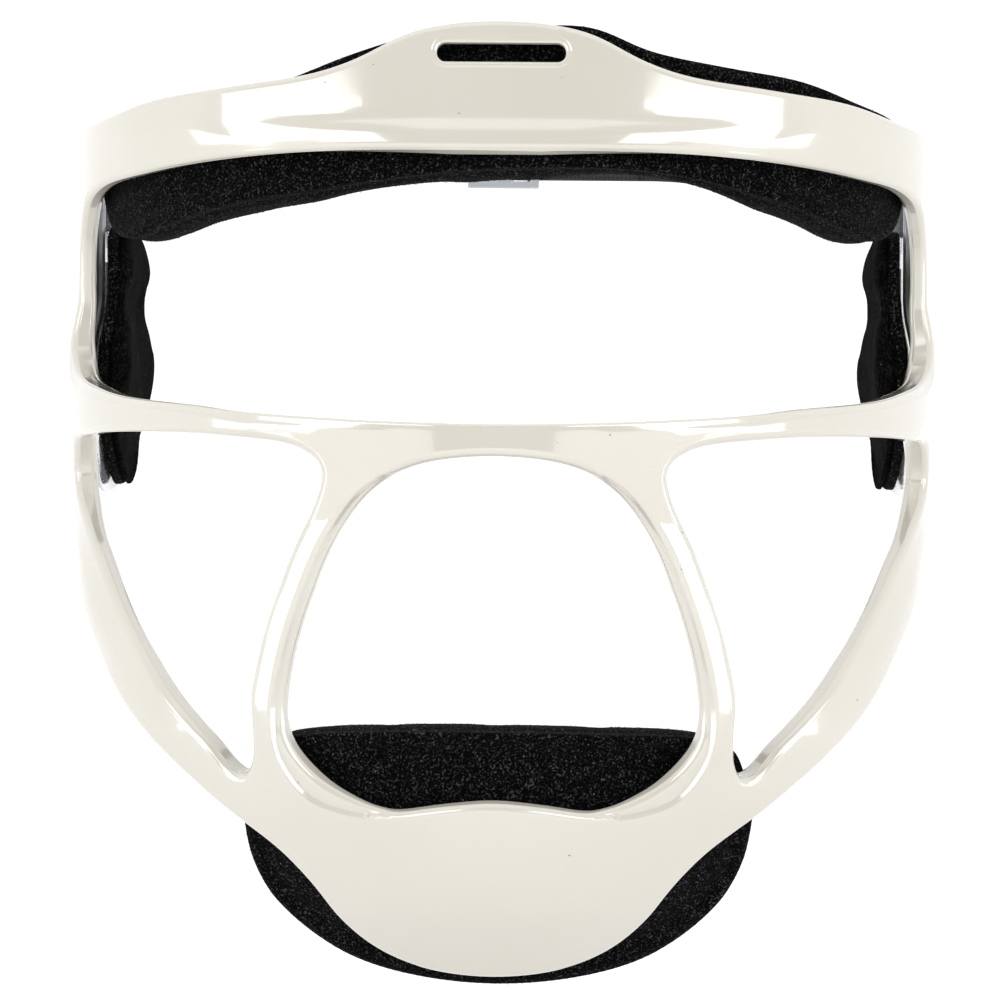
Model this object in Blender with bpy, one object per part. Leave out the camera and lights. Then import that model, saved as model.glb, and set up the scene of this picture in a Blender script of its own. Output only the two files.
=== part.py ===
"""Fielder's face mask: one moulded face frame, two side plates inside it, hook-and-loop
comfort pads and an elastic rear harness with a sliding adjuster.

Metres, +X to the mask's side, -Y the way the wearer looks, +Z up.  The outlines below
are in millimetres from a drawing datum on the front of the forehead band; HEAD_CENTRE
moves the datum so that the world origin is the middle of the wearer's head."""

import math

import bpy
import numpy as np
from mathutils.geometry import delaunay_2d_cdt

# ---------------------------------------------------------------- driving dimensions
HEAD_CENTRE = np.array([0.0, 95.0, 33.0])
SIDE_DEPTH = 78.0          # where the bent front turns straight back along the head
ROUNDNESS = 2.15           # exponent of the superellipse that the front is bent to
SIDE_RUN = 155.0           # unrolled distance from the centre line to SIDE_DEPTH
WING_PINCH = 0.0025        # how fast the side wings close in on the head, per mm
PLATE = 4.2                # wall of the band, chin plate and wings
BAR = 6.5                  # wall of the guard bars
EDGE = 1.6                 # width of the eased edge of the frame
EASE = 0.28                # share of the wall that the eased edge takes off each face
GAP = 0.45                 # clearance between stacked layers
SIDE_WALL = 3.4            # wall of the frame's posts, beside the side plates
SIDE_PLATE = 2.0           # wall of the side plates that carry the temple pads and straps
HOOK = 0.9                 # hook tape
LOOP = 1.1                 # brushed loop backing of a pad
FOREHEAD_FOAM = 12.5       # thickness of each pad's foam with its knit cover
CHIN_FOAM = 11.5
TEMPLE_FOAM = 5.0
WEB_WIDTH = 19.0           # harness webbing
WEB_THICK = 1.8
SLOT_Y = 113.0             # middle of the strap slots in the wings
SLOT_Z = 70.5
SLOT_WIDE = 7.0
SLOT_TALL = 23.0
SLOT_LAND_LONG = 30.5      # accessory slot through the flat middle of the band
SLOT_LAND_TALL = 4.8
REAR_Y = 195.0             # inner harness layer at the back of the head
REAR_Z = 88.5
ADJUSTER_X = -2.2          # where the adjuster sits on the straps
LAYER_STEP = 2.3           # distance between the two strap layers in the adjuster

# height, depth of the centre line, half-width, half of the flat middle, all in mm
PROFILE_Z = [-122.0, -104.0, -90.0, -78.0, -66.0, -45.0, -20.0, 16.0, 46.0, 77.0, 88.0, 104.0, 112.0]
PROFILE_Y = [22.0, 6.5, -9.0, -16.0, -20.5, -26.5, -30.5, -30.0, -17.0, -2.1, 1.2, 6.0, 8.4]
WIDTH_Z = [-122.0, -90.0, -78.0, -66.0, -52.0, -36.0, 0.0, 20.0, 34.0, 47.0, 77.0, 112.0]
WIDTH_X = [72.0, 80.0, 88.0, 97.0, 101.0, 99.4, 98.8, 99.9, 99.7, 97.8, 97.8, 97.5]
FLAT_Z = [-122.0, 70.0, 84.0, 112.0]
FLAT_X = [0.0, 0.0, 19.0, 19.0]


# ---------------------------------------------------------------- the bent surface
def smooth(knots, values, at):
    """Monotone cubic through the knots: no overshoot between them."""
    knots = np.asarray(knots, float)
    values = np.asarray(values, float)
    slope = np.diff(values) / np.diff(knots)
    tangent = np.zeros(len(knots))
    for i in range(1, len(knots) - 1):
        if slope[i - 1] * slope[i] > 0:
            tangent[i] = 2 * slope[i - 1] * slope[i] / (slope[i - 1] + slope[i])
    tangent[0] = slope[0]
    tangent[-1] = slope[-1]
    at = np.clip(np.asarray(at, float), knots[0], knots[-1])
    i = np.clip(np.searchsorted(knots, at, side="right") - 1, 0, len(knots) - 2)
    h = knots[i + 1] - knots[i]
    u = (at - knots[i]) / h
    return (
        (2 * u**3 - 3 * u**2 + 1) * values[i]
        + (u**3 - 2 * u**2 + u) * h * tangent[i]
        + (3 * u**2 - 2 * u**3) * values[i + 1]
        + (u**3 - u**2) * h * tangent[i + 1]
    )


def section(z):
    """Centre depth, half-width and half of the flat middle of the section at height z."""
    return smooth(PROFILE_Z, PROFILE_Y, z), smooth(WIDTH_Z, WIDTH_X, z), smooth(FLAT_Z, FLAT_X, z)


TURN = np.linspace(0.0, math.pi / 2, 361)


def arc_table(z):
    """Running length along the bent front for every turn angle, one row per height."""
    depth, wide, flat = (v[:, None] for v in section(z))
    x = flat + (wide - flat) * np.sin(TURN) ** (2 / ROUNDNESS)
    y = SIDE_DEPTH - (SIDE_DEPTH - depth) * np.cos(TURN) ** (2 / ROUNDNESS)
    steps = np.hypot(np.diff(x, axis=1), np.diff(y, axis=1))
    return np.concatenate([flat, flat + np.cumsum(steps, axis=1)], axis=1)


def surface(p, z):
    """Point on the outer face at unrolled position p and height z."""
    p = np.atleast_1d(np.asarray(p, float))
    z = np.atleast_1d(np.asarray(z, float))
    depth, wide, flat = section(z)
    arc = arc_table(z)
    stretch = arc[:, -1] / SIDE_RUN
    past = np.maximum(np.abs(p) - SIDE_RUN, 0.0)
    reach = np.minimum(np.abs(p), SIDE_RUN) * stretch
    turn = np.array([np.interp(r, row, TURN) for r, row in zip(reach, arc)])
    x = flat + (wide - flat) * np.sin(turn) ** (2 / ROUNDNESS)
    y = SIDE_DEPTH - (SIDE_DEPTH - depth) * np.maximum(np.cos(turn), 0) ** (2 / ROUNDNESS)
    x = np.where(reach < flat, reach, x)
    y = np.where(reach < flat, depth, y)
    x = np.where(past > 0, wide - WING_PINCH * past**2, x)
    y = np.where(past > 0, SIDE_DEPTH + past, y)
    return np.stack([np.sign(p) * x, y, z], axis=1)


def outward(p, z):
    """Unit outward normal of the outer face."""
    p = np.asarray(p, float)
    z = np.asarray(z, float)
    across = surface(p + 0.6, z) - surface(p - 0.6, z)
    up = surface(p, z + 0.6) - surface(p, z - 0.6)
    normal = np.cross(across, up)
    return normal / np.linalg.norm(normal, axis=1)[:, None]


def front(x, z):
    """Unrolled position of the point seen at x in front view."""
    depth, wide, flat = (float(v) for v in section(z))
    arc = arc_table(np.array([z]))[0]
    if abs(x) <= flat:
        return (x * SIDE_RUN / arc[-1], z)
    turn = math.asin(min(1.0, (abs(x) - flat) / (wide - flat)) ** (ROUNDNESS / 2))
    return (math.copysign(np.interp(turn, TURN, arc), x) * SIDE_RUN / arc[-1], z)


def side(y, z):
    """Unrolled position of the point seen at depth y in side view, on the +X side."""
    depth = float(section(z)[0])
    arc = arc_table(np.array([z]))[0]
    if y >= SIDE_DEPTH:
        return (SIDE_RUN + y - SIDE_DEPTH, z)
    turn = math.acos(((SIDE_DEPTH - y) / (SIDE_DEPTH - depth)) ** (ROUNDNESS / 2))
    return (np.interp(turn, TURN, arc) * SIDE_RUN / arc[-1], z)


def wall(p, z):
    """Wall of the frame: plates are thin, the guard bars and the hub are thick."""
    reach = np.abs(p)
    bars = smooth([-122.0, -70.0, -60.0, 34.0, 50.0, 112.0], [0.0, 0.0, 1.0, 1.0, 0.0, 0.0], z)
    ahead = 1.0 - np.clip((reach - SIDE_RUN + 22.0) / 19.0, 0.0, 1.0)
    plate = SIDE_WALL + (PLATE - SIDE_WALL) * ahead**2 * (3 - 2 * ahead)
    return plate + (BAR - plate) * bars * ahead**2 * (3 - 2 * ahead)


# ---------------------------------------------------------------- outlines
def rounded_loop(points, step):
    """Closed Catmull-Rom curve through the points, in even steps."""
    points = np.asarray(points, float)
    count = len(points)
    dense = []
    for i in range(count):
        a, b, c, d = (points[(i + k) % count] for k in (-1, 0, 1, 2))
        ta = max(np.linalg.norm(b - a), 1e-6) ** 0.5
        tb = max(np.linalg.norm(c - b), 1e-6) ** 0.5
        tc = max(np.linalg.norm(d - c), 1e-6) ** 0.5
        m1 = tb * ((b - a) / ta - (c - a) / (ta + tb) + (c - b) / tb)
        m2 = tb * ((c - b) / tb - (d - b) / (tb + tc) + (d - c) / tc)
        for u in np.linspace(0, 1, 24, endpoint=False):
            dense.append(
                (2 * u**3 - 3 * u**2 + 1) * b
                + (u**3 - 2 * u**2 + u) * m1
                + (3 * u**2 - 2 * u**3) * c
                + (u**3 - u**2) * m2
            )
    return even_steps(np.array(dense), step)


def even_steps(loop, step):
    closed = np.vstack([loop, loop[:1]])
    run = np.concatenate([[0], np.cumsum(np.linalg.norm(np.diff(closed, axis=0), axis=1))])
    count = max(8, 2 * round(run[-1] / step / 2))
    at = np.linspace(0, run[-1], count, endpoint=False)
    return np.stack([np.interp(at, run, closed[:, k]) for k in (0, 1)], axis=1)


def mirrored(half):
    """A whole outline from its +X half, which runs from the centre line back to it."""
    inner = [(-p, z) for p, z in reversed(half) if abs(p) > 1e-6]
    return list(half) + inner


def flipped(loop):
    return [(-p, z) for p, z in reversed(loop)]


def slot_loop(middle, half_wide, half_tall, corner, step):
    """Rounded rectangle in the unrolled plane."""
    loop = []
    for k, (sx, sy) in enumerate([(1, 1), (-1, 1), (-1, -1), (1, -1)]):
        for u in np.linspace(0, math.pi / 2, 4):
            turn = u + k * math.pi / 2
            loop.append((
                middle[0] + sx * (half_wide - corner) + corner * math.cos(turn),
                middle[1] + sy * (half_tall - corner) + corner * math.sin(turn),
            ))
    return even_steps(np.array(loop), step)


def area(loop):
    x, y = np.asarray(loop).T
    return 0.5 * float(np.sum(x * np.roll(y, -1) - np.roll(x, -1) * y))


def moved_in(loop, distance):
    """The loop moved to its left by distance: into the material when it runs that way."""
    ahead = np.roll(loop, -1, axis=0) - np.roll(loop, 1, axis=0)
    left = np.stack([-ahead[:, 1], ahead[:, 0]], axis=1)
    return loop + distance * left / np.linalg.norm(left, axis=1)[:, None]


def inside(points, loop):
    x, y = points[:, 0][:, None], points[:, 1][:, None]
    x1, y1 = loop[:, 0][None], loop[:, 1][None]
    x2, y2 = np.roll(loop[:, 0], -1)[None], np.roll(loop[:, 1], -1)[None]
    across = (y1 > y) != (y2 > y)
    safe = np.where(y2 == y1, 1e-12, y2 - y1)
    return (across & (x < (x2 - x1) * (y - y1) / safe + x1)).sum(axis=1) % 2 == 1


def edge_distance(points, loops):
    """Distance of each point from the nearest outline."""
    best = np.full(len(points), 1e9)
    for loop in loops:
        a = loop[None]
        b = np.roll(loop, -1, axis=0)[None]
        along = b - a
        u = ((points[:, None] - a) * along).sum(2) / (along**2).sum(2)
        foot = a + np.clip(u, 0, 1)[..., None] * along
        best = np.minimum(best, np.linalg.norm(points[:, None] - foot, axis=2).min(1))
    return best


# ---------------------------------------------------------------- meshes
def material(name, colour, roughness, metallic=0.0):
    found = bpy.data.materials.get(name)
    if found:
        return found
    made = bpy.data.materials.new(name)
    made.use_nodes = True
    shader = made.node_tree.nodes["Principled BSDF"]
    shader.inputs["Base Color"].default_value = (*colour, 1.0)
    shader.inputs["Roughness"].default_value = roughness
    shader.inputs["Metallic"].default_value = metallic
    made.diffuse_color = (*colour, 1.0)
    return made


def add_object(name, points_mm, faces, look):
    mesh = bpy.data.meshes.new(name)
    points = (np.asarray(points_mm, float) - HEAD_CENTRE) / 1000.0
    mesh.from_pydata([tuple(p) for p in points], [], [tuple(map(int, f)) for f in faces])
    mesh.materials.append(look)
    mesh.validate()
    made = bpy.data.objects.new(name, mesh)
    bpy.context.scene.collection.objects.link(made)
    return made


def flat_triangles(outer, holes, rings, spacing):
    """Triangles of the region, with vertex rows along the insets and a loose grid inside."""
    outer = outer if area(outer) > 0 else outer[::-1]
    holes = [hole if area(hole) < 0 else hole[::-1] for hole in holes]
    loops = [outer] + holes
    points = []
    edges = []
    for distance in (0.0, *rings):
        for loop in loops:
            row = loop if distance == 0 else moved_in(loop, distance)
            if distance > 0:
                row = row[edge_distance(row, loops) > 0.8 * distance]
                points.extend(map(tuple, row))
                continue
            start = len(points)
            points.extend(map(tuple, row))
            edges.extend((start + i, start + (i + 1) % len(row)) for i in range(len(row)))
    low, high = outer.min(0), outer.max(0)
    rows = np.arange(low[1] + spacing / 2, high[1], spacing * 0.87)
    grid = []
    for k, z in enumerate(rows):
        shift = 0.5 * spacing * (k % 2)
        across = np.arange(shift, max(high[0], -low[0]), spacing)
        grid.extend((s * p, z) for p in across for s in ((1, -1) if p > 0 else (1,)))
    grid = np.array(grid)
    keep = inside(grid, outer)
    for hole in holes:
        keep &= ~inside(grid, hole)
    clear = (max(rings) if rings else 0.0) + 0.45 * spacing
    grid = grid[keep]
    if len(grid):
        grid = grid[edge_distance(grid, loops) > clear]
        points.extend(map(tuple, grid))
    made = delaunay_2d_cdt([tuple(p) for p in points], edges, [], 0, 1e-5)
    flat = np.array([tuple(v) for v in made[0]])
    faces = np.array([f for f in made[2]])
    middle = flat[faces].mean(axis=1)
    keep = inside(middle, outer)
    for hole in holes:
        keep &= ~inside(middle, hole)
    faces = faces[keep]
    turn = np.cross(flat[faces[:, 1]] - flat[faces[:, 0]], flat[faces[:, 2]] - flat[faces[:, 0]])
    faces = np.where((turn < 0)[:, None], faces[:, ::-1], faces)
    used, index = np.unique(faces, return_inverse=True)
    return flat[used], index.reshape(-1, 3), loops


def bent_sheet(name, look, outer, holes, rings, spacing, skins):
    """A closed sheet bent to the surface.  skins gives the two faces' depths under it."""
    flat, faces, loops = flat_triangles(outer, holes, rings, spacing)
    p, z = flat[:, 0], flat[:, 1]
    base = surface(p, z)
    normal = outward(p, z)
    top, bottom = skins(p, z, edge_distance(flat, loops))
    count = len(flat)
    points = np.vstack([base - normal * top[:, None], base - normal * bottom[:, None]])
    sides = np.concatenate([faces[:, [0, 1]], faces[:, [1, 2]], faces[:, [2, 0]]])
    both = {tuple(e) for e in sides}
    rim = [(a, b) for a, b in both if (b, a) not in both]
    walls = []
    for a, b in rim:
        walls.append((b, a, a + count))
        walls.append((b, a + count, b + count))
    everything = np.vstack([faces, faces[:, ::-1] + count, np.array(walls)])
    return add_object(name, points, everything, look)


def on_side_plate(p, z):
    """Depth of the side plate's inner face."""
    return np.full(len(p), SIDE_WALL + GAP + SIDE_PLATE)


def layer(top, bottom, base=wall):
    """Skins of a flat tape between two depths under its base."""
    def skins(p, z, edge):
        under = base(p, z)
        return under + top, under + bottom
    return skins


def cushion(top, bottom, crown, lobes=None, base=wall):
    """Skins of a pad: flat on its backing, crowned and rounded over on the skin side."""
    def skins(p, z, edge):
        under = base(p, z) + top
        rise = 1.0 - np.clip(edge / crown, 0.0, 1.0)
        full = (bottom - top) * (0.38 + 0.62 * np.sqrt(1.0 - rise**2))
        if lobes is not None:
            full = full - lobes(p, z) * np.clip(edge / crown, 0.0, 1.0)
        return under, under + full
    return skins


# ---------------------------------------------------------------- face frame
def frame_outline():
    half = [
        front(0, 106.3), front(18.9, 103.9), front(32.3, 97.4), front(41.7, 94.3),
        front(60.3, 91.6), front(78.0, 89.2), front(90.0, 85.9), side(68, 84.2),
        side(80, 83.2), side(87.5, 79.0), side(89.5, 70.0), side(89.0, 56.0),
        side(90.5, 42.0), side(93.0, 28.0), side(91.5, 14.0), side(87.0, 4.0),
        side(80.0, -3.0), side(72, -7.4),
        front(96.9, -12.6), front(95.5, -19.4), front(93.5, -26.0), front(90.5, -32.6),
        front(87.3, -39.4), front(83.2, -46.1), front(77.5, -52.7), front(70.7, -59.2),
        front(63.0, -65.7), front(54.5, -72.1), front(46.1, -78.6), front(39.8, -85.3),
        front(34.4, -92.4), front(26.6, -99.3), front(16.4, -104.0), front(0, -106.2),
    ]
    return mirrored(half)


def eye_outline():
    half = [
        front(0, 77.0), front(25, 76.9), front(45, 76.3), front(62.5, 74.9),
        front(80.5, 72.6), side(47, 70.0), side(56.5, 66.4), side(61.5, 59.5),
        side(62.5, 50), side(62, 38.5), side(58.5, 31.6), side(49, 27.6),
        side(33, 24.9), front(86, 22.9), front(66, 20.5), front(56, 19.0),
        front(36, 17.5), front(18, 16.7), front(0, 16.4),
    ]
    return mirrored(half)


def mouth_outline():
    half = [
        front(0, 9.5), front(10, 8.9), front(18, 7.3), front(24.6, 4.2), front(29.0, 0.9),
        front(34.3, -5.4), front(38.0, -12.0), front(41.8, -21.8), front(43.8, -28.3),
        front(45.5, -34.8), front(46.7, -41.3), front(47.2, -47.9), front(45.8, -53.6),
        front(42.2, -58.6), front(38.4, -62.1), front(32.4, -65.4), front(23.5, -68.6),
        front(12, -67.4), front(0, -66.4),
    ]
    return mirrored(half)


def cheek_outline():
    return [
        front(38.2, 6.8), front(43.0, 11.0), front(61.1, 13.7), front(79.5, 14.5),
        side(38, 13.6), side(49, 10.4), side(53.5, 3.5), front(95.2, -5.7),
        front(92.2, -12.9), front(89.2, -19.2), front(83.8, -29.1), front(79.4, -35.5),
        front(74.4, -41.9), front(68.6, -48.5), front(62.4, -55.2), front(58.5, -60.1),
        front(55.3, -61.6), front(53.4, -57.6), front(53.5, -51.0), front(53.9, -43.5),
        front(52.4, -34.8), front(50.9, -28.3), front(48.9, -21.8), front(46.7, -15.2),
        front(44.1, -8.7), front(40.7, -2.2), front(38.9, 2.0),
    ]


def side_plate_outline():
    return [
        side(76, 30), side(75.5, 52), side(76, 74), side(80, 81.0), side(92, 84.2),
        side(107, 87.0), side(117, 86.4), side(122.3, 80.5), side(122.5, 62),
        side(119.5, 50), side(120, 34), side(121.5, 16), side(117, 5),
        side(106, 1.6), side(90, 1.4), side(80, 4.5), side(76.5, 13),
    ]


def wing_slot():
    middle = side(SLOT_Y, SLOT_Z)
    return slot_loop(middle, SLOT_WIDE / 2, SLOT_TALL / 2, 1.8, 1.6)


def build_frame():
    look = material("cream_plastic", (0.86, 0.85, 0.79), 0.22)
    outer = rounded_loop(frame_outline(), 6.0)
    cheek = rounded_loop(cheek_outline(), 5.0)
    holes = [
        rounded_loop(eye_outline(), 6.0),
        rounded_loop(mouth_outline(), 5.0),
        cheek,
        cheek[::-1] * [-1, 1],
        slot_loop((0.0, 99.2), SLOT_LAND_LONG / 2, SLOT_LAND_TALL / 2, 2.3, 1.8),
    ]

    def skins(p, z, edge):
        thick = wall(p, z)
        eased = EASE * thick * np.clip(1.0 - edge / EDGE, 0.0, 1.0)
        return eased, thick - eased

    return bent_sheet("face_frame", look, outer, holes, (EDGE,), 6.4, skins)


def build_side_plates():
    """Plates bonded inside the frame's posts, with the strap slots behind them."""
    look = material("white_plastic", (0.80, 0.82, 0.84), 0.18)

    def skins(p, z, edge):
        under = np.full(len(p), SIDE_WALL + GAP)
        eased = EASE * SIDE_PLATE * np.clip(1.0 - edge / 0.8, 0.0, 1.0)
        return under + eased, under + SIDE_PLATE - eased

    for name, sign in (("right_side_plate", 1), ("left_side_plate", -1)):
        outer = rounded_loop(side_plate_outline(), 5.0)
        slot = wing_slot()
        if sign < 0:
            outer = outer[::-1] * [-1, 1]
            slot = slot[::-1] * [-1, 1]
        bent_sheet(name, look, outer, [slot], (0.8,), 6.4, skins)


# ---------------------------------------------------------------- pads
def forehead_outline():
    half = [
        front(0, 107.0), front(20, 104.4), front(34, 98.8), front(52, 95.8),
        front(70, 93.4), front(84, 89.4), side(52, 86.2), side(66, 82.6), side(71.5, 76.0),
        side(67.5, 67.6), side(58, 61.6), front(91.6, 59.6), front(84.6, 61.2),
        front(74.0, 65.0), front(59.0, 68.7), front(42.0, 70.8), front(23.0, 72.0),
        front(0, 72.7),
    ]
    return mirrored(half)


def chin_outline():
    half = [
        front(0, -53.2), front(25, -53.2), front(46, -53.4), front(55.0, -56.0),
        front(58.2, -63.0), front(59.0, -71.0), front(58.4, -78.5), front(55.6, -87.0),
        front(50.6, -94.4), front(42.4, -101.4), front(32.0, -106.6), front(17.0, -110.4),
        front(0, -111.8),
    ]
    return mirrored(half)


def temple_outline():
    return [
        side(71, 29), side(67.5, 41), side(69.5, 53), side(77, 60.5), side(92, 62.2),
        side(107, 59.5), side(115, 52), side(117, 40), side(118, 26), side(118.5, 13),
        side(116.5, 4.5), side(110.5, 3.2), side(103, 8.5), side(93, 15.0), side(80, 20.5),
    ]


def chin_lobes(p, z):
    """Grooves between the chin pad's four lobes."""
    grooves = np.exp(-((np.abs(p) - 24.0) / 3.5) ** 2) + np.exp(-(p / 4.0) ** 2)
    return 3.0 * np.clip(grooves, 0, 1)


def temple_lobes(p, z):
    """The groove between a temple pad's two domes, and the taper to its lower end."""
    groove = 1.8 * np.exp(-((z - 45.0) / 3.2) ** 2) + 1.9 * np.clip((z - 44.0) / 5.0, 0.0, 1.0)
    return groove + 3.2 * np.clip((23.0 - z) / 14.0, 0.0, 1.0)


def build_pad(name, outline, foam, crown, lobes, flip, base=wall):
    fuzz = material("loop_fabric", (0.022, 0.022, 0.024), 0.95)
    knit = material("pad_foam", (0.018, 0.018, 0.020), 0.9)
    loop = rounded_loop(outline, 6.5)
    if flip:
        loop = loop[::-1] * [-1, 1]
    first = GAP + HOOK + 1.3 * GAP
    bent_sheet(name + "_backing" + flip, fuzz, loop, [], (), 6.0,
               layer(first, first + LOOP, base))
    under = first + LOOP + 1.3 * GAP
    bent_sheet(
        name + "_foam" + flip, knit, moved_in(loop if area(loop) > 0 else loop[::-1], 0.6),
        [], (2.0, 5.0), 6.5, cushion(under, under + foam, crown, lobes, base),
    )


def hook_strip(name, corners, flip="", base=wall):
    look = material("hook_tape", (0.03, 0.03, 0.032), 0.8)
    loop = even_steps(np.array(corners), 6.0)
    if flip:
        loop = loop[::-1] * [-1, 1]
    bent_sheet(name, look, loop, [], (), 4.5, layer(GAP, GAP + HOOK, base))


def build_hook_strips():
    hook_strip("forehead_hook_centre", slot_loop(front(0, 84.5), 20, 6.0, 2, 6))
    hook_strip("forehead_hook_right", slot_loop(front(52, 83.0), 16, 5.0, 2, 6))
    hook_strip("forehead_hook_left", slot_loop(front(52, 83.0), 16, 5.0, 2, 6), "left")
    wing = slot_loop(side(97, 38.5), 16.0, 16.0, 2, 6)
    hook_strip("temple_hook_right", wing, "", on_side_plate)
    hook_strip("temple_hook_left", wing, "left", on_side_plate)
    chin = slot_loop(front(21, -80), 13, 6.5, 2, 6)
    hook_strip("chin_hook_right", chin)
    hook_strip("chin_hook_left", chin, "left")


# ---------------------------------------------------------------- harness
def ribbon(name, look, path):
    """Webbing along a plan path of (x, y, z of its middle)."""
    path = np.array(path, float)
    ahead = np.gradient(path[:, :2], axis=0)
    ahead /= np.linalg.norm(ahead, axis=1)[:, None]
    across = np.stack([ahead[:, 1], -ahead[:, 0], np.zeros(len(path))], axis=1)
    up = np.array([0, 0, WEB_WIDTH / 2])
    half = WEB_THICK / 2
    rows = [path + across * half - up, path + across * half + up,
            path - across * half + up, path - across * half - up]
    count = len(path)
    faces = []
    for k in range(4):
        n = (k + 1) % 4
        for i in range(count - 1):
            faces.append((k * count + i, k * count + i + 1, n * count + i + 1))
            faces.append((k * count + i, n * count + i + 1, n * count + i))
    for end, flip in ((0, True), (count - 1, False)):
        cap = [k * count + end for k in range(4)]
        cap = cap if flip else cap[::-1]
        faces.append((cap[0], cap[1], cap[2]))
        faces.append((cap[0], cap[2], cap[3]))
    made = add_object(name, np.vstack(rows), faces, look)
    if signed_volume(np.vstack(rows), np.array(faces)) < 0:
        made.data.flip_normals()
    return made


def signed_volume(points, faces):
    a, b, c = (points[faces[:, k]] for k in range(3))
    return float((a * np.cross(b, c)).sum())


def open_curve(points, step):
    """Open Catmull-Rom curve through plan points, in even steps."""
    points = np.asarray(points, float)
    padded = np.vstack([2 * points[0] - points[1], points, 2 * points[-1] - points[-2]])
    dense = []
    for i in range(1, len(padded) - 2):
        a, b, c, d = padded[i - 1:i + 3]
        for u in np.linspace(0, 1, 30, endpoint=False):
            dense.append(0.5 * (2 * b + (c - a) * u + (2 * a - 5 * b + 4 * c - d) * u**2
                                + (3 * b - a - 3 * c + d) * u**3))
    dense.append(points[-1])
    dense = np.array(dense)
    run = np.concatenate([[0], np.cumsum(np.linalg.norm(np.diff(dense, axis=0), axis=1))])
    at = np.linspace(0, run[-1], max(2, round(run[-1] / step)) + 1)
    return np.stack([np.interp(at, run, dense[:, k]) for k in (0, 1)], axis=1)


def strap_path(rear_y):
    """Right strap: folded tab outside the wing, through the slot, round to the rear."""
    face = surface(*side(SLOT_Y, SLOT_Z))[0][0] - SIDE_WALL - GAP
    rim = surface(*side(122.5, SLOT_Z))[0][0] - SIDE_WALL - GAP
    fold = [
        (rim - 3.0, 143.0), (rim - 0.2, 134.0), (rim + 1.8, 125.0),
        (face + 2.2, 116.2), (face + 1.4, 113.6), (face - 1.1, 112.6),
        (face - 3.6, 113.4), (face - 4.7, 116.2),
    ]
    back = [
        (rim - 4.3, 125.0), (rim - 5.0, 134.0), (rim - 6.6, 144.0), (71.0, 163.0),
        (58.5, 180.0), (46.0, rear_y - 3.6), (33.0, rear_y), (20.0, rear_y),
        (0.0, rear_y), (-20.0, rear_y), (-31.0, rear_y),
    ]
    plan = open_curve(fold + back, 3.0)
    run = np.concatenate([[0], np.cumsum(np.linalg.norm(np.diff(plan, axis=0), axis=1))])
    start = run[np.argmax(plan[:, 1] < 113.5)] + 14.0
    level = run[np.argmax((plan[:, 0] < 33.0) & (run > start))]
    share = np.clip((run - start) / (level - start), 0, 1)
    z = SLOT_Z + (REAR_Z - SLOT_Z) * (3 * share**2 - 2 * share**3)
    return np.column_stack([plan, z])


def build_straps():
    look = material("elastic_webbing", (0.02, 0.02, 0.021), 0.85)
    right = strap_path(REAR_Y + LAYER_STEP)
    left = strap_path(REAR_Y) * [-1, 1, 1]
    return ribbon("right_strap", look, right), ribbon("left_strap", look, left)


def box(low, high):
    """Corners and faces of a box."""
    points = [(x, y, z) for x in (low[0], high[0]) for y in (low[1], high[1]) for z in (low[2], high[2])]
    faces = [(0, 1, 3, 2), (4, 6, 7, 5), (0, 4, 5, 1), (2, 3, 7, 6), (0, 2, 6, 4), (1, 5, 7, 3)]
    return np.array(points, float), faces


def joined_boxes(name, look, boxes):
    """One body from overlapping boxes."""
    first = None
    for k, (low, high) in enumerate(boxes):
        made = add_object(name if k == 0 else f"{name}_bar_{k}", *box(low, high), look)
        if first is None:
            first = made
            continue
        made.hide_render = True
        made.display_type = "WIRE"
        join = first.modifiers.new(f"bar_{k}", "BOOLEAN")
        join.operation = "UNION"
        join.solver = "EXACT"
        join.object = made
    return first


def build_adjuster():
    """Ladder in front of both strap layers, two bridges behind them."""
    look = material("white_plastic", (0.80, 0.82, 0.84), 0.18)
    half = 8.75
    clear = 0.45
    inner = REAR_Y - WEB_THICK / 2 - clear
    outer = REAR_Y + LAYER_STEP + WEB_THICK / 2 + clear
    low = REAR_Z - WEB_WIDTH / 2 - clear
    high = REAR_Z + WEB_WIDTH / 2 + clear
    face = inner - 2.0
    back = outer + 1.6
    rail = 1.8
    bars = [
        ((-half, face, low - rail), (half, back, low)),
        ((-half, face, high), (half, back, high + rail)),
        ((-half, face, low - 0.5), (-half + 2.1, inner, high + 0.5)),
        ((half - 2.1, face, low - 0.5), (half, inner, high + 0.5)),
        ((-2.2, face, low - 0.5), (2.2, inner, high + 0.5)),
        ((-half, outer, low - 0.5), (-half + 3.0, back, high + 0.5)),
        ((half - 3.0, outer, low - 0.5), (half, back, high + 0.5)),
    ]
    moved = [tuple((x + ADJUSTER_X, y, z) for x, y, z in ends) for ends in bars]
    return joined_boxes("rear_adjuster", look, moved)


def main():
    for old in list(bpy.data.objects):
        bpy.data.objects.remove(old, do_unlink=True)
    build_frame()
    build_hook_strips()
    build_pad("forehead_pad", forehead_outline(), FOREHEAD_FOAM, 9.0, None, "")
    build_pad("chin_pad", chin_outline(), CHIN_FOAM, 8.0, chin_lobes, "")
    build_side_plates()
    build_pad("temple_pad", temple_outline(), TEMPLE_FOAM, 8.0, temple_lobes, "", on_side_plate)
    build_pad("temple_pad", temple_outline(), TEMPLE_FOAM, 8.0, temple_lobes, "_left", on_side_plate)
    for part in ("backing", "foam"):
        bpy.data.objects["temple_pad_" + part].name = "temple_pad_" + part + "_right"
    build_straps()
    build_adjuster()


main()
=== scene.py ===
"""Looks of the fielder's face mask: the moulded frame and side plates with rounded edges
and moulded steps, puffed pads with a brushed face, ribbed harness webbing, the adjuster,
and the studio round them.

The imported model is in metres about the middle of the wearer's head.  The outlines below
are in millimetres from the same drawing datum as the CAD model's, on the front of the
forehead band, and HEAD_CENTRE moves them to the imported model's origin."""

import math

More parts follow.
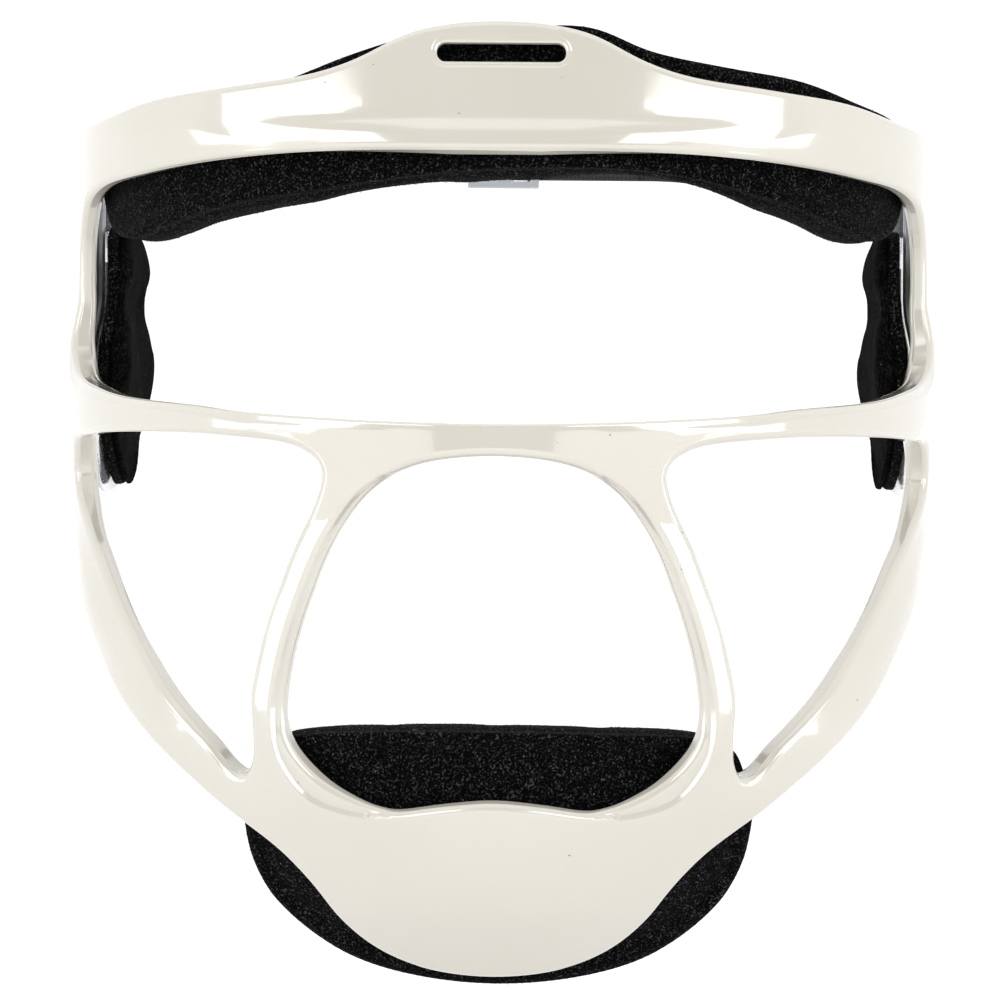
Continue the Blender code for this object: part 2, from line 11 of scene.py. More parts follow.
import bmesh
import bpy
import numpy as np
from mathutils import Euler, Matrix, Vector, noise
from mathutils.geometry import delaunay_2d_cdt
from mathutils.kdtree import KDTree


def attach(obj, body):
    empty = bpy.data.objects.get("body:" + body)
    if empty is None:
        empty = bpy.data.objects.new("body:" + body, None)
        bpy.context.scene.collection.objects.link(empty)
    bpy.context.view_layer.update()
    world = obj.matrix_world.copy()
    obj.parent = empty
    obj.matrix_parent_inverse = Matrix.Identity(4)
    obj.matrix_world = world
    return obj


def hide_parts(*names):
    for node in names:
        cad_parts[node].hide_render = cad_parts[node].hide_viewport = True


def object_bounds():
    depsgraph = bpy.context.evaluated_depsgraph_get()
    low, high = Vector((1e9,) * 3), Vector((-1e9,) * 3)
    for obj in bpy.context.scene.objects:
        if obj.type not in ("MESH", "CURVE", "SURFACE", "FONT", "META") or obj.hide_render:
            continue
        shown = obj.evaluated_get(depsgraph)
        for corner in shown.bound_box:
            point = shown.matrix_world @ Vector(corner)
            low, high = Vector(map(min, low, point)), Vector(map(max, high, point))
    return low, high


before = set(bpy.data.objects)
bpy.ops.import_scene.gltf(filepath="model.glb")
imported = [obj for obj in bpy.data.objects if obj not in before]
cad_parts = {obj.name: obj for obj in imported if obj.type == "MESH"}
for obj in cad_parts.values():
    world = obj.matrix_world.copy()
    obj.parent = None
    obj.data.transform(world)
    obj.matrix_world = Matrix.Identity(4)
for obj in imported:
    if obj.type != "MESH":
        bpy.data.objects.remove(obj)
cad_low, cad_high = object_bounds()

# ---------------------------------------------------------------- driving dimensions, mm
HEAD_CENTRE = np.array([0.0, 95.0, 33.0])
SIDE_DEPTH = 78.0
ROUNDNESS = 2.15
SIDE_RUN = 155.0
WING_PINCH = 0.0025
PLATE = 4.2
BAR = 6.5
SIDE_WALL = 3.4
SIDE_PLATE = 2.0
GAP = 0.45
HOOK = 0.9
LOOP = 1.1
FIBRE = 0.5            # longest loose fibre on the pads' brushed faces
FIBRE_WIDTH = 0.08
FOREHEAD_FOAM = 12.5
CHIN_FOAM = 11.5
TEMPLE_FOAM = 5.0
WEB_WIDTH = 19.0
WEB_THICK = 1.8
WEB_EDGE = 0.7         # how far the webbing's rounded edges reach in
SLOT_Y = 113.0
SLOT_Z = 70.5
SLOT_WIDE = 7.0
SLOT_TALL = 23.0
REAR_Y = 195.0
REAR_Z = 88.5
LAYER_STEP = 2.3
STRAP_LIFT = 1.5       # the strap hangs in the upper part of its slot
PAD_FACE = GAP + HOOK + 1.3 * GAP      # depth of a pad's brushed face under its base
FABRIC_TURN = 4.6      # how far the fabric reaches over the edge of a wrapped pad

# height, depth of the centre line, half-width, half of the flat middle
PROFILE_Z = [-122, -104, -90, -78, -66, -45, -20, 16, 46, 77, 88, 104, 112]
PROFILE_Y = [22.0, 6.5, -9.0, -16.0, -20.5, -26.5, -30.5, -30.0, -17.0, -2.1, 1.2, 6.0, 8.4]
WIDTH_Z = [-122, -90, -78, -66, -52, -36, 0, 20, 34, 47, 77, 112]
WIDTH_X = [72.0, 80.0, 88.0, 97.0, 101.0, 99.4, 98.8, 99.9, 99.7, 97.8, 97.8, 97.5]
FLAT_Z = [-122, 70, 84, 112]
FLAT_X = [0.0, 0.0, 19.0, 19.0]

# the camera stands this far in front of the drawing datum and sees this width there
CAMERA_AWAY = 1.6
VIEW_WIDTH = 0.22
CAMERA_TURN = 1.0
CAMERA_ROLL = 0.45
CAMERA_ASIDE = 0.0009

ROOM_LIGHT = 0.06      # light from the room in front of the mask, against BACK_LIGHT behind it
BOX_LIGHT = 3.6
TOP_LIGHT = 1.2
BACK_LIGHT = 1.16

# corners of the soft boxes as (azimuth, elevation, distance in metres) about the mask's
# front; the side boxes are mirrored for the left
SIDE_BOXES = {
    "soft_box_": [(64, -14, 1.0), (13, 12, 2.0), (17, 36, 2.0), (68, 25, 1.0)],
    "side_box_": [(61, -14, 1.2), (61, 2.5, 1.2), (80, 2.5, 1.2), (79, -12, 1.2)],
    "low_card_": [
        (54.5, -16.5, 0.395), (66, -16.5, 0.395), (66, -24.3, 0.41), (54.5, -24.3, 0.41),
    ],
}
TOP_BOX = [(-38, 50, 1.3), (38, 50, 1.3), (38, 72, 1.3), (-38, 72, 1.3)]


# ---------------------------------------------------------------- the bent surface
def unit(vectors):
    return vectors / np.linalg.norm(vectors, axis=1)[:, None]


def hermite(u, a, b, leave, arrive, run=1.0):
    """Cubic from a to b, with these slopes at its ends over its run."""
    return (
        (2 * u**3 - 3 * u**2 + 1) * a
        + (u**3 - 2 * u**2 + u) * run * leave
        + (3 * u**2 - 2 * u**3) * b
        + (u**3 - u**2) * run * arrive
    )


def smooth(knots, values, at):
    """Monotone cubic through the knots: no overshoot between them."""
    knots = np.asarray(knots, float)
    values = np.asarray(values, float)
    slope = np.diff(values) / np.diff(knots)
    tangent = np.zeros(len(knots))
    for i in range(1, len(knots) - 1):
        if slope[i - 1] * slope[i] > 0:
            tangent[i] = 2 * slope[i - 1] * slope[i] / (slope[i - 1] + slope[i])
    tangent[0] = slope[0]
    tangent[-1] = slope[-1]
    at = np.clip(np.asarray(at, float), knots[0], knots[-1])
    i = np.clip(np.searchsorted(knots, at, side="right") - 1, 0, len(knots) - 2)
    run = knots[i + 1] - knots[i]
    u = (at - knots[i]) / run
    return hermite(u, values[i], values[i + 1], tangent[i], tangent[i + 1], run)


def soft_step(at, start, end):
    """0 at start and 1 at end, smooth between; start may be the larger."""
    u = np.clip((np.asarray(at, float) - start) / (end - start), 0.0, 1.0)
    return u * u * (3 - 2 * u)


def section(z):
    """Centre depth, half-width and half of the flat middle of the section at height z."""
    return smooth(PROFILE_Z, PROFILE_Y, z), smooth(WIDTH_Z, WIDTH_X, z), smooth(FLAT_Z, FLAT_X, z)


TURN = np.linspace(0.0, math.pi / 2, 361)


def arc_table(z):
    """Running length along the bent front for every turn angle, one row per height."""
    depth, wide, flat = (v[:, None] for v in section(z))
    x = flat + (wide - flat) * np.sin(TURN) ** (2 / ROUNDNESS)
    y = SIDE_DEPTH - (SIDE_DEPTH - depth) * np.cos(TURN) ** (2 / ROUNDNESS)
    steps = np.hypot(np.diff(x, axis=1), np.diff(y, axis=1))
    return np.concatenate([flat, flat + np.cumsum(steps, axis=1)], axis=1)


def surface(p, z):
    """Point on the outer face at unrolled position p and height z."""
    p = np.atleast_1d(np.asarray(p, float))
    z = np.atleast_1d(np.asarray(z, float))
    depth, wide, flat = section(z)
    arc = arc_table(z)
    stretch = arc[:, -1] / SIDE_RUN
    past = np.maximum(np.abs(p) - SIDE_RUN, 0.0)
    reach = np.minimum(np.abs(p), SIDE_RUN) * stretch
    turn = np.array([np.interp(r, row, TURN) for r, row in zip(reach, arc)])
    x = flat + (wide - flat) * np.sin(turn) ** (2 / ROUNDNESS)
    y = SIDE_DEPTH - (SIDE_DEPTH - depth) * np.maximum(np.cos(turn), 0) ** (2 / ROUNDNESS)
    x = np.where(reach < flat, reach, x)
    y = np.where(reach < flat, depth, y)
    x = np.where(past > 0, wide - WING_PINCH * past**2, x)
    y = np.where(past > 0, SIDE_DEPTH + past, y)
    return np.stack([np.sign(p) * x, y, z], axis=1)


def tangents(p, z):
    """Unit vectors along +p and +z on the outer face, and its unit outward normal."""
    across = surface(p + 0.6, z) - surface(p - 0.6, z)
    up = surface(p, z + 0.6) - surface(p, z - 0.6)
    normal = np.cross(across, up)
    return [unit(v) for v in (across, up, normal)]


def front(x, z):
    """Unrolled position of the point seen at x in front view."""
    depth, wide, flat = (float(v) for v in section(z))
    arc = arc_table(np.array([z]))[0]
    if abs(x) <= flat:
        return (x * SIDE_RUN / arc[-1], z)
    turn = math.asin(min(1.0, (abs(x) - flat) / (wide - flat)) ** (ROUNDNESS / 2))
    return (math.copysign(np.interp(turn, TURN, arc), x) * SIDE_RUN / arc[-1], z)


def side(y, z):
    """Unrolled position of the point seen at depth y in side view, on the +X side."""
    depth = float(section(z)[0])
    arc = arc_table(np.array([z]))[0]
    if y >= SIDE_DEPTH:
        return (SIDE_RUN + y - SIDE_DEPTH, z)
    turn = math.acos(((SIDE_DEPTH - y) / (SIDE_DEPTH - depth)) ** (ROUNDNESS / 2))
    return (np.interp(turn, TURN, arc) * SIDE_RUN / arc[-1], z)


def traced(view, *points):
    """Unrolled positions of points as (across, height) in the front or the side view."""
    return [view(across, height) for across, height in points]


def bar_share(z):
    """1 at the heights of the guard bars and the hub, 0 at the band and the chin plate."""
    return smooth([-122, -70, -60, 34, 50, 112], [0, 0, 1, 1, 0, 0], z)


def wall(p, z):
    """Wall of the frame: plates are thin, the guard bars and the hub are thick."""
    ahead = 1.0 - np.clip((np.abs(p) - SIDE_RUN + 22.0) / 19.0, 0.0, 1.0)
    plate = SIDE_WALL + (PLATE - SIDE_WALL) * ahead**2 * (3 - 2 * ahead)
    return plate + (BAR - plate) * bar_share(z) * ahead**2 * (3 - 2 * ahead)


def on_side_plate(p, z):
    """Depth of the side plate's inner face, the same all over."""
    return np.full(len(p), SIDE_WALL + GAP + SIDE_PLATE)


# ---------------------------------------------------------------- outlines
def run_along(points):
    """Length along an open line up to each of its points."""
    return np.concatenate([[0], np.cumsum(np.linalg.norm(np.diff(points, axis=0), axis=1))])


def rounded_loop(points, step):
    """Closed Catmull-Rom curve through the points, in even steps."""
    points = np.asarray(points, float)
    count = len(points)
    dense = []
    for i in range(count):
        a, b, c, d = (points[(i + k) % count] for k in (-1, 0, 1, 2))
        ta, tb, tc = (max(np.linalg.norm(e), 1e-6) ** 0.5 for e in (b - a, c - b, d - c))
        m1 = tb * ((b - a) / ta - (c - a) / (ta + tb) + (c - b) / tb)
        m2 = tb * ((c - b) / tb - (d - b) / (tb + tc) + (d - c) / tc)
        dense.extend(hermite(u, b, c, m1, m2) for u in np.linspace(0, 1, 24, endpoint=False))
    return even_steps(np.array(dense), step)


def even_steps(loop, step):
    """The closed loop again in an even number of even steps."""
    closed = np.vstack([loop, loop[:1]])
    run = run_along(closed)
    count = max(8, 2 * round(run[-1] / step / 2))
    at = np.linspace(0, run[-1], count, endpoint=False)
    return np.stack([np.interp(at, run, closed[:, k]) for k in (0, 1)], axis=1)


def relaxed(loop, rounds):
    """The loop with its small kinks evened out."""
    for _ in range(rounds):
        loop = 0.5 * loop + 0.25 * (np.roll(loop, 1, axis=0) + np.roll(loop, -1, axis=0))
    return loop


def mirrored(half):
    """A whole outline from its +X half, which runs from the centre line back to it."""
    return list(half) + [(-p, z) for p, z in reversed(half) if abs(p) > 1e-6]


def slot_loop(middle, half_wide, half_tall, corner, step):
    """Rounded rectangle in the unrolled plane."""
    loop = []
    wide, tall = half_wide - corner, half_tall - corner
    for k, (sx, sy) in enumerate([(1, 1), (-1, 1), (-1, -1), (1, -1)]):
        for u in np.linspace(0, math.pi / 2, 10):
            turn = u + k * math.pi / 2
            loop.append((
                middle[0] + sx * wide + corner * math.cos(turn),
                middle[1] + sy * tall + corner * math.sin(turn),
            ))
    return even_steps(np.array(loop), step)


def area(loop):
    x, y = np.asarray(loop).T
    return 0.5 * float(np.sum(x * np.roll(y, -1) - np.roll(x, -1) * y))


def left_of(loop):
    """Unit vectors to the left of the loop: into the material when it runs that way."""
    ahead = np.roll(loop, -1, axis=0) - np.roll(loop, 1, axis=0)
    return unit(np.stack([-ahead[:, 1], ahead[:, 0]], axis=1))


def inside(points, loop):
    found = []
    x1, y1 = loop[:, 0][None], loop[:, 1][None]
    x2, y2 = np.roll(loop[:, 0], -1)[None], np.roll(loop[:, 1], -1)[None]
    safe = np.where(y2 == y1, 1e-12, y2 - y1)
    for part in np.array_split(points, max(1, len(points) // 2000)):
        x, y = part[:, 0][:, None], part[:, 1][:, None]
        across = (y1 > y) != (y2 > y)
        found.append((across & (x < (x2 - x1) * (y - y1) / safe + x1)).sum(axis=1) % 2 == 1)
    return np.concatenate(found)


def within(points, outer, holes):
    keep = inside(points, outer)
    for hole in holes:
        keep &= ~inside(points, hole)
    return keep


class Outlines:
    """Distances from a set of evenly stepped loops."""

    def __init__(self, loops):
        self.points = np.vstack(loops)
        self.left = np.vstack([left_of(loop) for loop in loops])
        self.before = np.vstack([np.roll(loop, 1, axis=0) for loop in loops])
        self.after = np.vstack([np.roll(loop, -1, axis=0) for loop in loops])
        self.tree = KDTree(len(self.points))
        for i, (p, z) in enumerate(self.points):
            self.tree.insert((p, z, 0.0), i)
        self.tree.balance()

    def nearest(self, points):
        return np.array([self.tree.find((p, z, 0.0))[1] for p, z in points], int)

    def distance(self, points):
        i = self.nearest(points)
        best = np.full(len(points), np.inf)
        for far in (self.before[i], self.after[i]):
            along = far - self.points[i]
            u = ((points - self.points[i]) * along).sum(1) / (along**2).sum(1)
            foot = self.points[i] + np.clip(u, 0, 1)[:, None] * along
            best = np.minimum(best, np.linalg.norm(points - foot, axis=1))
        return best


# ---------------------------------------------------------------- meshes
def to_world(points_mm):
    return (np.asarray(points_mm, float) - HEAD_CENTRE) / 1000.0


def new_mesh(name, points_mm, faces, look):
    mesh = bpy.data.meshes.new(name)
    mesh.from_pydata(to_world(points_mm).tolist(), [], [tuple(map(int, f)) for f in faces])
    mesh.materials.append(look)
    mesh.polygons.foreach_set("use_smooth", np.ones(len(mesh.polygons), bool))
    made = bpy.data.objects.new(name, mesh)
    bpy.context.scene.collection.objects.link(made)
    return made


def placed(made, body, nodes=()):
    """Says what body the piece rides on and hides the CAD nodes that it stands for."""
    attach(made, body)
    if nodes:
        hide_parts(*nodes)


def flat_triangles(outer, holes, rings, spacing, rows=()):
    """Triangles of the region, with vertex rows along the insets and a loose grid inside."""
    outer = outer if area(outer) > 0 else outer[::-1]
    holes = [hole if area(hole) < 0 else hole[::-1] for hole in holes]
    loops = [outer] + holes
    edge = Outlines(loops)
    points, edges = [], []
    for loop in loops:
        start = len(points)
        points.extend(map(tuple, loop))
        edges.extend((start + i, start + (i + 1) % len(loop)) for i in range(len(loop)))
    for distance in rings:
        for loop in loops:
            row = loop + distance * left_of(loop)
            points.extend(map(tuple, row[edge.distance(row) > 0.8 * distance]))
    clear = max(rings, default=0.0) + 0.4 * spacing
    near_rows = None
    if len(rows):
        rows = np.vstack(rows)
        rows = rows[edge.distance(rows) > 0.25]
        points.extend(map(tuple, rows))
        near_rows = Outlines([rows])
    low, high = outer.min(0), outer.max(0)
    grid = []
    for k, z in enumerate(np.arange(low[1] + spacing / 2, high[1], spacing * 0.87)):
        across = np.arange(0.5 * spacing * (k % 2), max(high[0], -low[0]), spacing)
        grid.extend((s * p, z) for p in across for s in ((1, -1) if p > 0 else (1,)))
    grid = np.array(grid)
    grid = grid[within(grid, outer, holes)]
    grid = grid[edge.distance(grid) > clear]
    if near_rows is not None:
        away = near_rows.points[near_rows.nearest(grid)] - grid
        grid = grid[np.linalg.norm(away, axis=1) > 0.45 * spacing]
    points.extend(map(tuple, grid))
    made = delaunay_2d_cdt(points, edges, [], 0, 1e-5)
    flat = np.array([tuple(v) for v in made[0]])
    faces = np.array([f for f in made[2] if len(f) == 3])
    faces = faces[within(flat[faces].mean(axis=1), outer, holes)]
    a, b, c = (flat[faces[:, k]] for k in range(3))
    turn = (b - a)[:, 0] * (c - a)[:, 1] - (b - a)[:, 1] * (c - a)[:, 0]
    faces = np.where((turn < 0)[:, None], faces[:, ::-1], faces)
    used, index = np.unique(faces, return_inverse=True)
    return flat[used], index.reshape(-1, 3), edge


def rim_of(flat, faces, edge):
    """Edges that only one face has, their points, and the way into the material there."""
    sides = np.concatenate([faces[:, [0, 1]], faces[:, [1, 2]], faces[:, [2, 0]]])
    both = set(map(tuple, sides))
    rim = np.array(sorted((a, b) for a, b in both if (b, a) not in both))
    ends = np.unique(rim)
    return rim, ends, edge.left[edge.nearest(flat[ends])]


def band(rim, upper, lower):
    """Triangles between two rows round the rim; upper and lower number the rows' points."""
    a, b = rim.T
    corners = [upper[b], upper[a], lower[a], upper[b], lower[a], lower[b]]
    return np.stack(corners, axis=1).reshape(-1, 3)


def moulded_sheet(name, look, outer, holes, rings, spacing, skins, rows=()):
    """A closed sheet bent to the surface, its edges rounded, with exact shading normals.
    skins(flat, edge) gives the two faces' depths under the surface."""
    flat, faces, edge = flat_triangles(outer, holes, rings, spacing, rows)
    base = surface(*flat.T)
    across, up, normal = tangents(*flat.T)
    top, bottom = skins(flat, edge)
    count = len(flat)
    step = 0.12
    slopes = []        # of both faces along p, then along z
    for shift in ((step, 0.0), (0.0, step)):
        ahead, behind = (skins(flat + s * np.array(shift), edge) for s in (1, -1))
        slopes.append([(a - b) / (2 * step) for a, b in zip(ahead, behind)])
    shade = [normal + across * a[:, None] + up * b[:, None] for a, b in zip(*slopes)]
    rim, ends, left = rim_of(flat, faces, edge)
    out = -(left[:, :1] * across[ends] + left[:, 1:] * up[ends])
    shade[0][ends] = out
    shade[1][ends] = -out
    points = np.vstack([base - normal * top[:, None], base - normal * bottom[:, None]])
    number = np.arange(count)
    walls = band(rim, number, number + count)
    made = new_mesh(name, points, np.vstack([faces, faces[:, ::-1] + count, walls]), look)
    normals = unit(np.vstack([shade[0], -shade[1]]))
    made.data.normals_split_custom_set_from_vertices(normals.tolist())
    return made


def round_over(edge, radius):
    """How much lower a rounded edge's face is, this far from the edge."""
    reach = np.clip(radius - edge, 0.0, radius)
    return radius - np.sqrt(np.maximum(radius**2 - reach**2, 0.0))


# ---------------------------------------------------------------- materials
def set_inputs(node, **values):
    """Sets a node's inputs; an underscore stands for the space in an input's name."""
    for name, value in values.items():
        node.inputs[name.replace("_", " ")].default_value = value


class Nodes:
    """The nodes of a new material or world, with a texture coordinate node among them."""

    def __init__(self, made):
        self.made = made
        made.use_nodes = True
        self.nodes, self.links = made.node_tree.nodes, made.node_tree.links
        self.place = self.nodes.new("ShaderNodeTexCoord").outputs

    def add(self, kind, vector=None, **values):
        made = self.nodes.new("ShaderNode" + kind)
        set_inputs(made, **values)
        if vector is not None:
            self.links.new(vector, made.inputs["Vector"])
        return made


class Look(Nodes):
    """A node material being built on the object's own coordinates, in metres."""

    def __init__(self, name):
        super().__init__(bpy.data.materials.new(name))
        self.shader = self.nodes["Principled BSDF"]
        self.at, self.unrolled = self.place["Object"], self.place["UV"]

    def noise(self, scale, detail=3.0, rough=0.5):
        made = self.add("TexNoise", self.at, Scale=scale, Detail=detail, Roughness=rough)
        return made.outputs["Fac"]

    def ramp(self, factor, *stops):
        """Colour ramp; a stop is (position, grey or colour)."""
        made = self.add("ValToRGB")
        steps = made.color_ramp.elements
        while len(steps) < len(stops):
            steps.new(0.5)
        for step, (at, colour) in zip(steps, stops):
            step.position = at
            if isinstance(colour, (int, float)):
                colour = (colour, colour, colour)
            step.color = (*colour, 1.0)
        self.links.new(factor, made.inputs["Fac"])
        return made.outputs["Color"]

    def mix(self, a, b, kind="MULTIPLY", factor=1.0):
        made = self.add("Mix")
        made.data_type = "RGBA"
        made.blend_type = kind
        made.inputs["Factor"].default_value = factor
        self.links.new(a, made.inputs[6])
        self.links.new(b, made.inputs[7])
        return made.outputs[2]

    def bump(self, height, distance, strength, before=None):
        made = self.add("Bump", Distance=distance, Strength=strength)
        self.links.new(height, made.inputs["Height"])
        if before is not None:
            self.links.new(before, made.inputs["Normal"])
        return made.outputs["Normal"]

    def finish(self, colour, normal, **values):
        """Wires the colour and the bumped normal, sets the rest and gives the material."""
        self.links.new(colour, self.shader.inputs["Base Color"])
        self.links.new(normal, self.shader.inputs["Normal"])
        set_inputs(self.shader, **values)
        return self.made


def moulded_plastic(name, colour, shade, roughness, dust):
    """Glossy moulded plastic: a faint orange-peel, scuffs, dust specks, a warmer shade in
    patches."""
    look = Look(name)
    patches = look.ramp(look.noise(26.0, 2.0), (0.35, colour), (0.7, shade))
    specks = look.ramp(look.noise(620.0, 1.0, 0.4), (0.80, 1.0), (0.835, dust))
    scuffs = look.ramp(look.noise(90.0, 6.0, 0.7), (0.45, roughness), (0.75, roughness + 0.10))
    look.links.new(scuffs, look.shader.inputs["Roughness"])
    peel = look.bump(look.noise(180.0, 2.0), 0.00004, 0.5)
    grain = look.bump(look.noise(2400.0, 1.0), 0.000004, 0.5, peel)
    return look.finish(
        look.mix(patches, specks), grain,
        IOR=1.62, Coat_Weight=1.0, Coat_Roughness=0.05, Coat_IOR=1.75,
        Subsurface_Weight=0.06, Subsurface_Radius=(0.004, 0.003, 0.002), Subsurface_Scale=0.6,
    )


def brushed_loop(name):
    """Brushed loop fabric: short curled pile with grey flecks and some lint."""
    look = Look(name)
    curls, tufts = look.noise(1900.0, 2.0, 0.7), look.noise(420.0, 3.0, 0.6)
    flecks = look.ramp(curls, (0.46, 0.0008), (0.56, 0.0045), (0.68, 0.062))
    fabric = look.mix(flecks, look.ramp(tufts, (0.35, 0.4), (0.65, 1.0)))
    lint = look.ramp(look.noise(1700.0, 0.0), (0.845, 0.0), (0.865, 0.12))
    rough = look.bump(tufts, 0.0007, 0.7)
    return look.finish(
        look.mix(fabric, lint, "ADD"), look.bump(curls, 0.0004, 0.8, rough),
        Roughness=0.95, Specular_IOR_Level=0.04,
        Sheen_Weight=0.02, Sheen_Roughness=0.45, Sheen_Tint=(0.75, 0.76, 0.8, 1.0),
    )


def knit_cover(name):
    """Fine knit over foam: small stitches in wales, a faint sheen, scattered pale lint."""
    look = Look(name)
    stretch = look.add("Mapping", look.at, Scale=(1.0, 1.0, 0.55)).outputs["Vector"]
    stitches = look.add("TexVoronoi", stretch, Scale=1900.0).outputs["Distance"]
    yarn = look.ramp(stitches, (0.0, (0.0155, 0.0135, 0.012)), (0.55, 0.0022))
    rubbed = look.ramp(look.noise(240.0, 4.0, 0.6), (0.4, 0.6), (0.7, 1.5))
    lint = look.ramp(look.noise(1700.0, 0.0), (0.83, 0.0), (0.85, 0.10))
    weave = look.bump(stitches, 0.0003, 0.7)
    return look.finish(
        look.mix(look.mix(yarn, rubbed), lint, "ADD"),
        look.bump(look.noise(420.0), 0.0005, 0.5, weave),
        Roughness=0.85, Specular_IOR_Level=0.01,
        Sheen_Weight=0.002, Sheen_Roughness=0.35, Sheen_Tint=(0.8, 0.78, 0.76, 1.0),
    )


def hook_tape(name):
    """Hook tape: rows of small hooks on a woven ground."""
    look = Look(name)
    hooks = look.add("TexVoronoi", look.at, Scale=900.0, Randomness=0.35).outputs["Distance"]
    return look.finish(
        look.ramp(hooks, (0.1, 0.05), (0.5, 0.008)), look.bump(hooks, -0.0006, 0.9), Roughness=0.6
    )


def ribbed_webbing(name):
    """Ribbed elastic webbing; u runs along the strap in mm and v across it."""
    look = Look(name)
    picks = look.add("TexWave", look.unrolled, Scale=0.30, Distortion=0.4, Detail=1.0)
    ribs = look.add("TexWave", look.unrolled, Scale=0.21)
    picks.bands_direction, ribs.bands_direction = "X", "Y"
    weave = look.mix(picks.outputs["Color"], ribs.outputs["Color"], "MIX", 0.5)
    yarn = look.ramp(weave, (0.15, 0.003), (0.8, 0.02))
    fluff = look.ramp(look.noise(2600.0), (0.35, 0.6), (0.7, 1.6))
    return look.finish(
        look.mix(yarn, fluff), look.bump(weave, 0.00035, 0.8),
        Roughness=0.72, Sheen_Weight=0.06, Sheen_Roughness=0.4,
    )


def twisted_thread(name):
    """Sewing thread: dark and light turns of its twist."""
    look = Look(name)
    twist = look.noise(3500.0, 2.0)
    return look.finish(
        look.ramp(twist, (0.3, 0.02), (0.7, 0.09)), look.bump(twist, 0.0002, 0.6), Roughness=0.5
    )


CREAM = moulded_plastic(
    "cream_moulding", (0.530, 0.507, 0.450), (0.514, 0.490, 0.430), 0.12, 0.45
)
WHITE = moulded_plastic(
    "cool_white_moulding", (0.44, 0.462, 0.485), (0.41, 0.43, 0.452), 0.10, 0.6
)
FUZZ = brushed_loop("brushed_loop_pile")
KNIT = knit_cover("knit_foam_cover")
WEBBING = ribbed_webbing("ribbed_webbing")
THREAD = twisted_thread("sewing_thread")
TAPE = hook_tape("hook_tape_rows")


# ---------------------------------------------------------------- moulded frame
FRAME_STEP = 1.3


def frame_outline():
    half = traced(
        front, (0, 106.3), (18.9, 103.9), (32.3, 97.4), (41.7, 94.3), (60.3, 91.6),
        (78, 89.2), (90, 85.9),
    ) + traced(
        side, (68, 84.2), (80, 83.2), (87.5, 79), (89.5, 70), (89, 56), (90.5, 42),
        (93, 28), (91.5, 14), (87, 4), (80, -3), (72, -7.4),
    ) + traced(
        front, (96.9, -12.6), (95.5, -19.4), (93.5, -26), (90.5, -32.6), (87.3, -39.4),
        (83.2, -46.1), (77.5, -52.7), (70.7, -59.2), (63, -65.7), (54.5, -72.1),
        (46.1, -78.6), (39.8, -85.3), (34.4, -92.4), (26.6, -99.3), (16.4, -104), (0, -106.2),
    )
    return mirrored(half)


def eye_outline():
    half = traced(
        front, (0, 77), (25, 76.9), (45, 76.3), (62.5, 74.9), (80.5, 72.6),
    ) + traced(
        side, (47, 70), (56.5, 66.4), (61.5, 59.5), (62.5, 50), (62, 38.5), (58.5, 31.6),
        (49, 27.6), (33, 24.9),
    ) + traced(
        front, (86, 22.9), (66, 20.5), (56, 19), (36, 17.5), (18, 16.7), (0, 16.4),
    )
    return mirrored(half)


def mouth_outline():
    return mirrored(traced(
        front, (0, 9.5), (10, 8.9), (18, 7.3), (24.6, 4.2), (29, 0.9), (34.3, -5.4),
        (38, -12), (41.8, -21.8), (43.8, -28.3), (45.5, -34.8), (46.7, -41.3),
        (47.2, -47.9), (45.8, -53.6), (42.2, -58.6), (38.4, -62.1), (32.4, -65.4),
        (23.5, -68.6), (12, -67.4), (0, -66.4),
    ))


def cheek_outline():
    return traced(
        front, (38.2, 6.8), (43, 11), (61.1, 13.7), (79.5, 14.5),
    ) + traced(
        side, (40, 13.9), (54, 12.4), (60, 4.5),
    ) + traced(
        front, (95.6, -5.7), (92.2, -12.9), (89.2, -19.2), (83.8, -29.1), (79.4, -35.5),
        (74.4, -41.9), (68.6, -48.5), (62.4, -55.2), (58.5, -60.1), (55.3, -61.6),
        (53.4, -57.6), (53.5, -51), (53.9, -43.5), (52.4, -34.8), (50.9, -28.3),
        (48.9, -21.8), (46.7, -15.2), (44.1, -8.7), (40.7, -2.2), (38.9, 2),
    )


def lip_width(p, z):
    """Width of the moulded lip round the mouth opening: widest at the chin corners."""
    heights = [-69, -66, -62, -57, -50, -34, -8, 4, 10]
    wide = smooth(heights, [0.3, 3, 4.4, 3.5, 1.8, 1.2, 1.1, 0.9, 0.5], z)
    return wide * soft_step(np.abs(p), 14, 27)


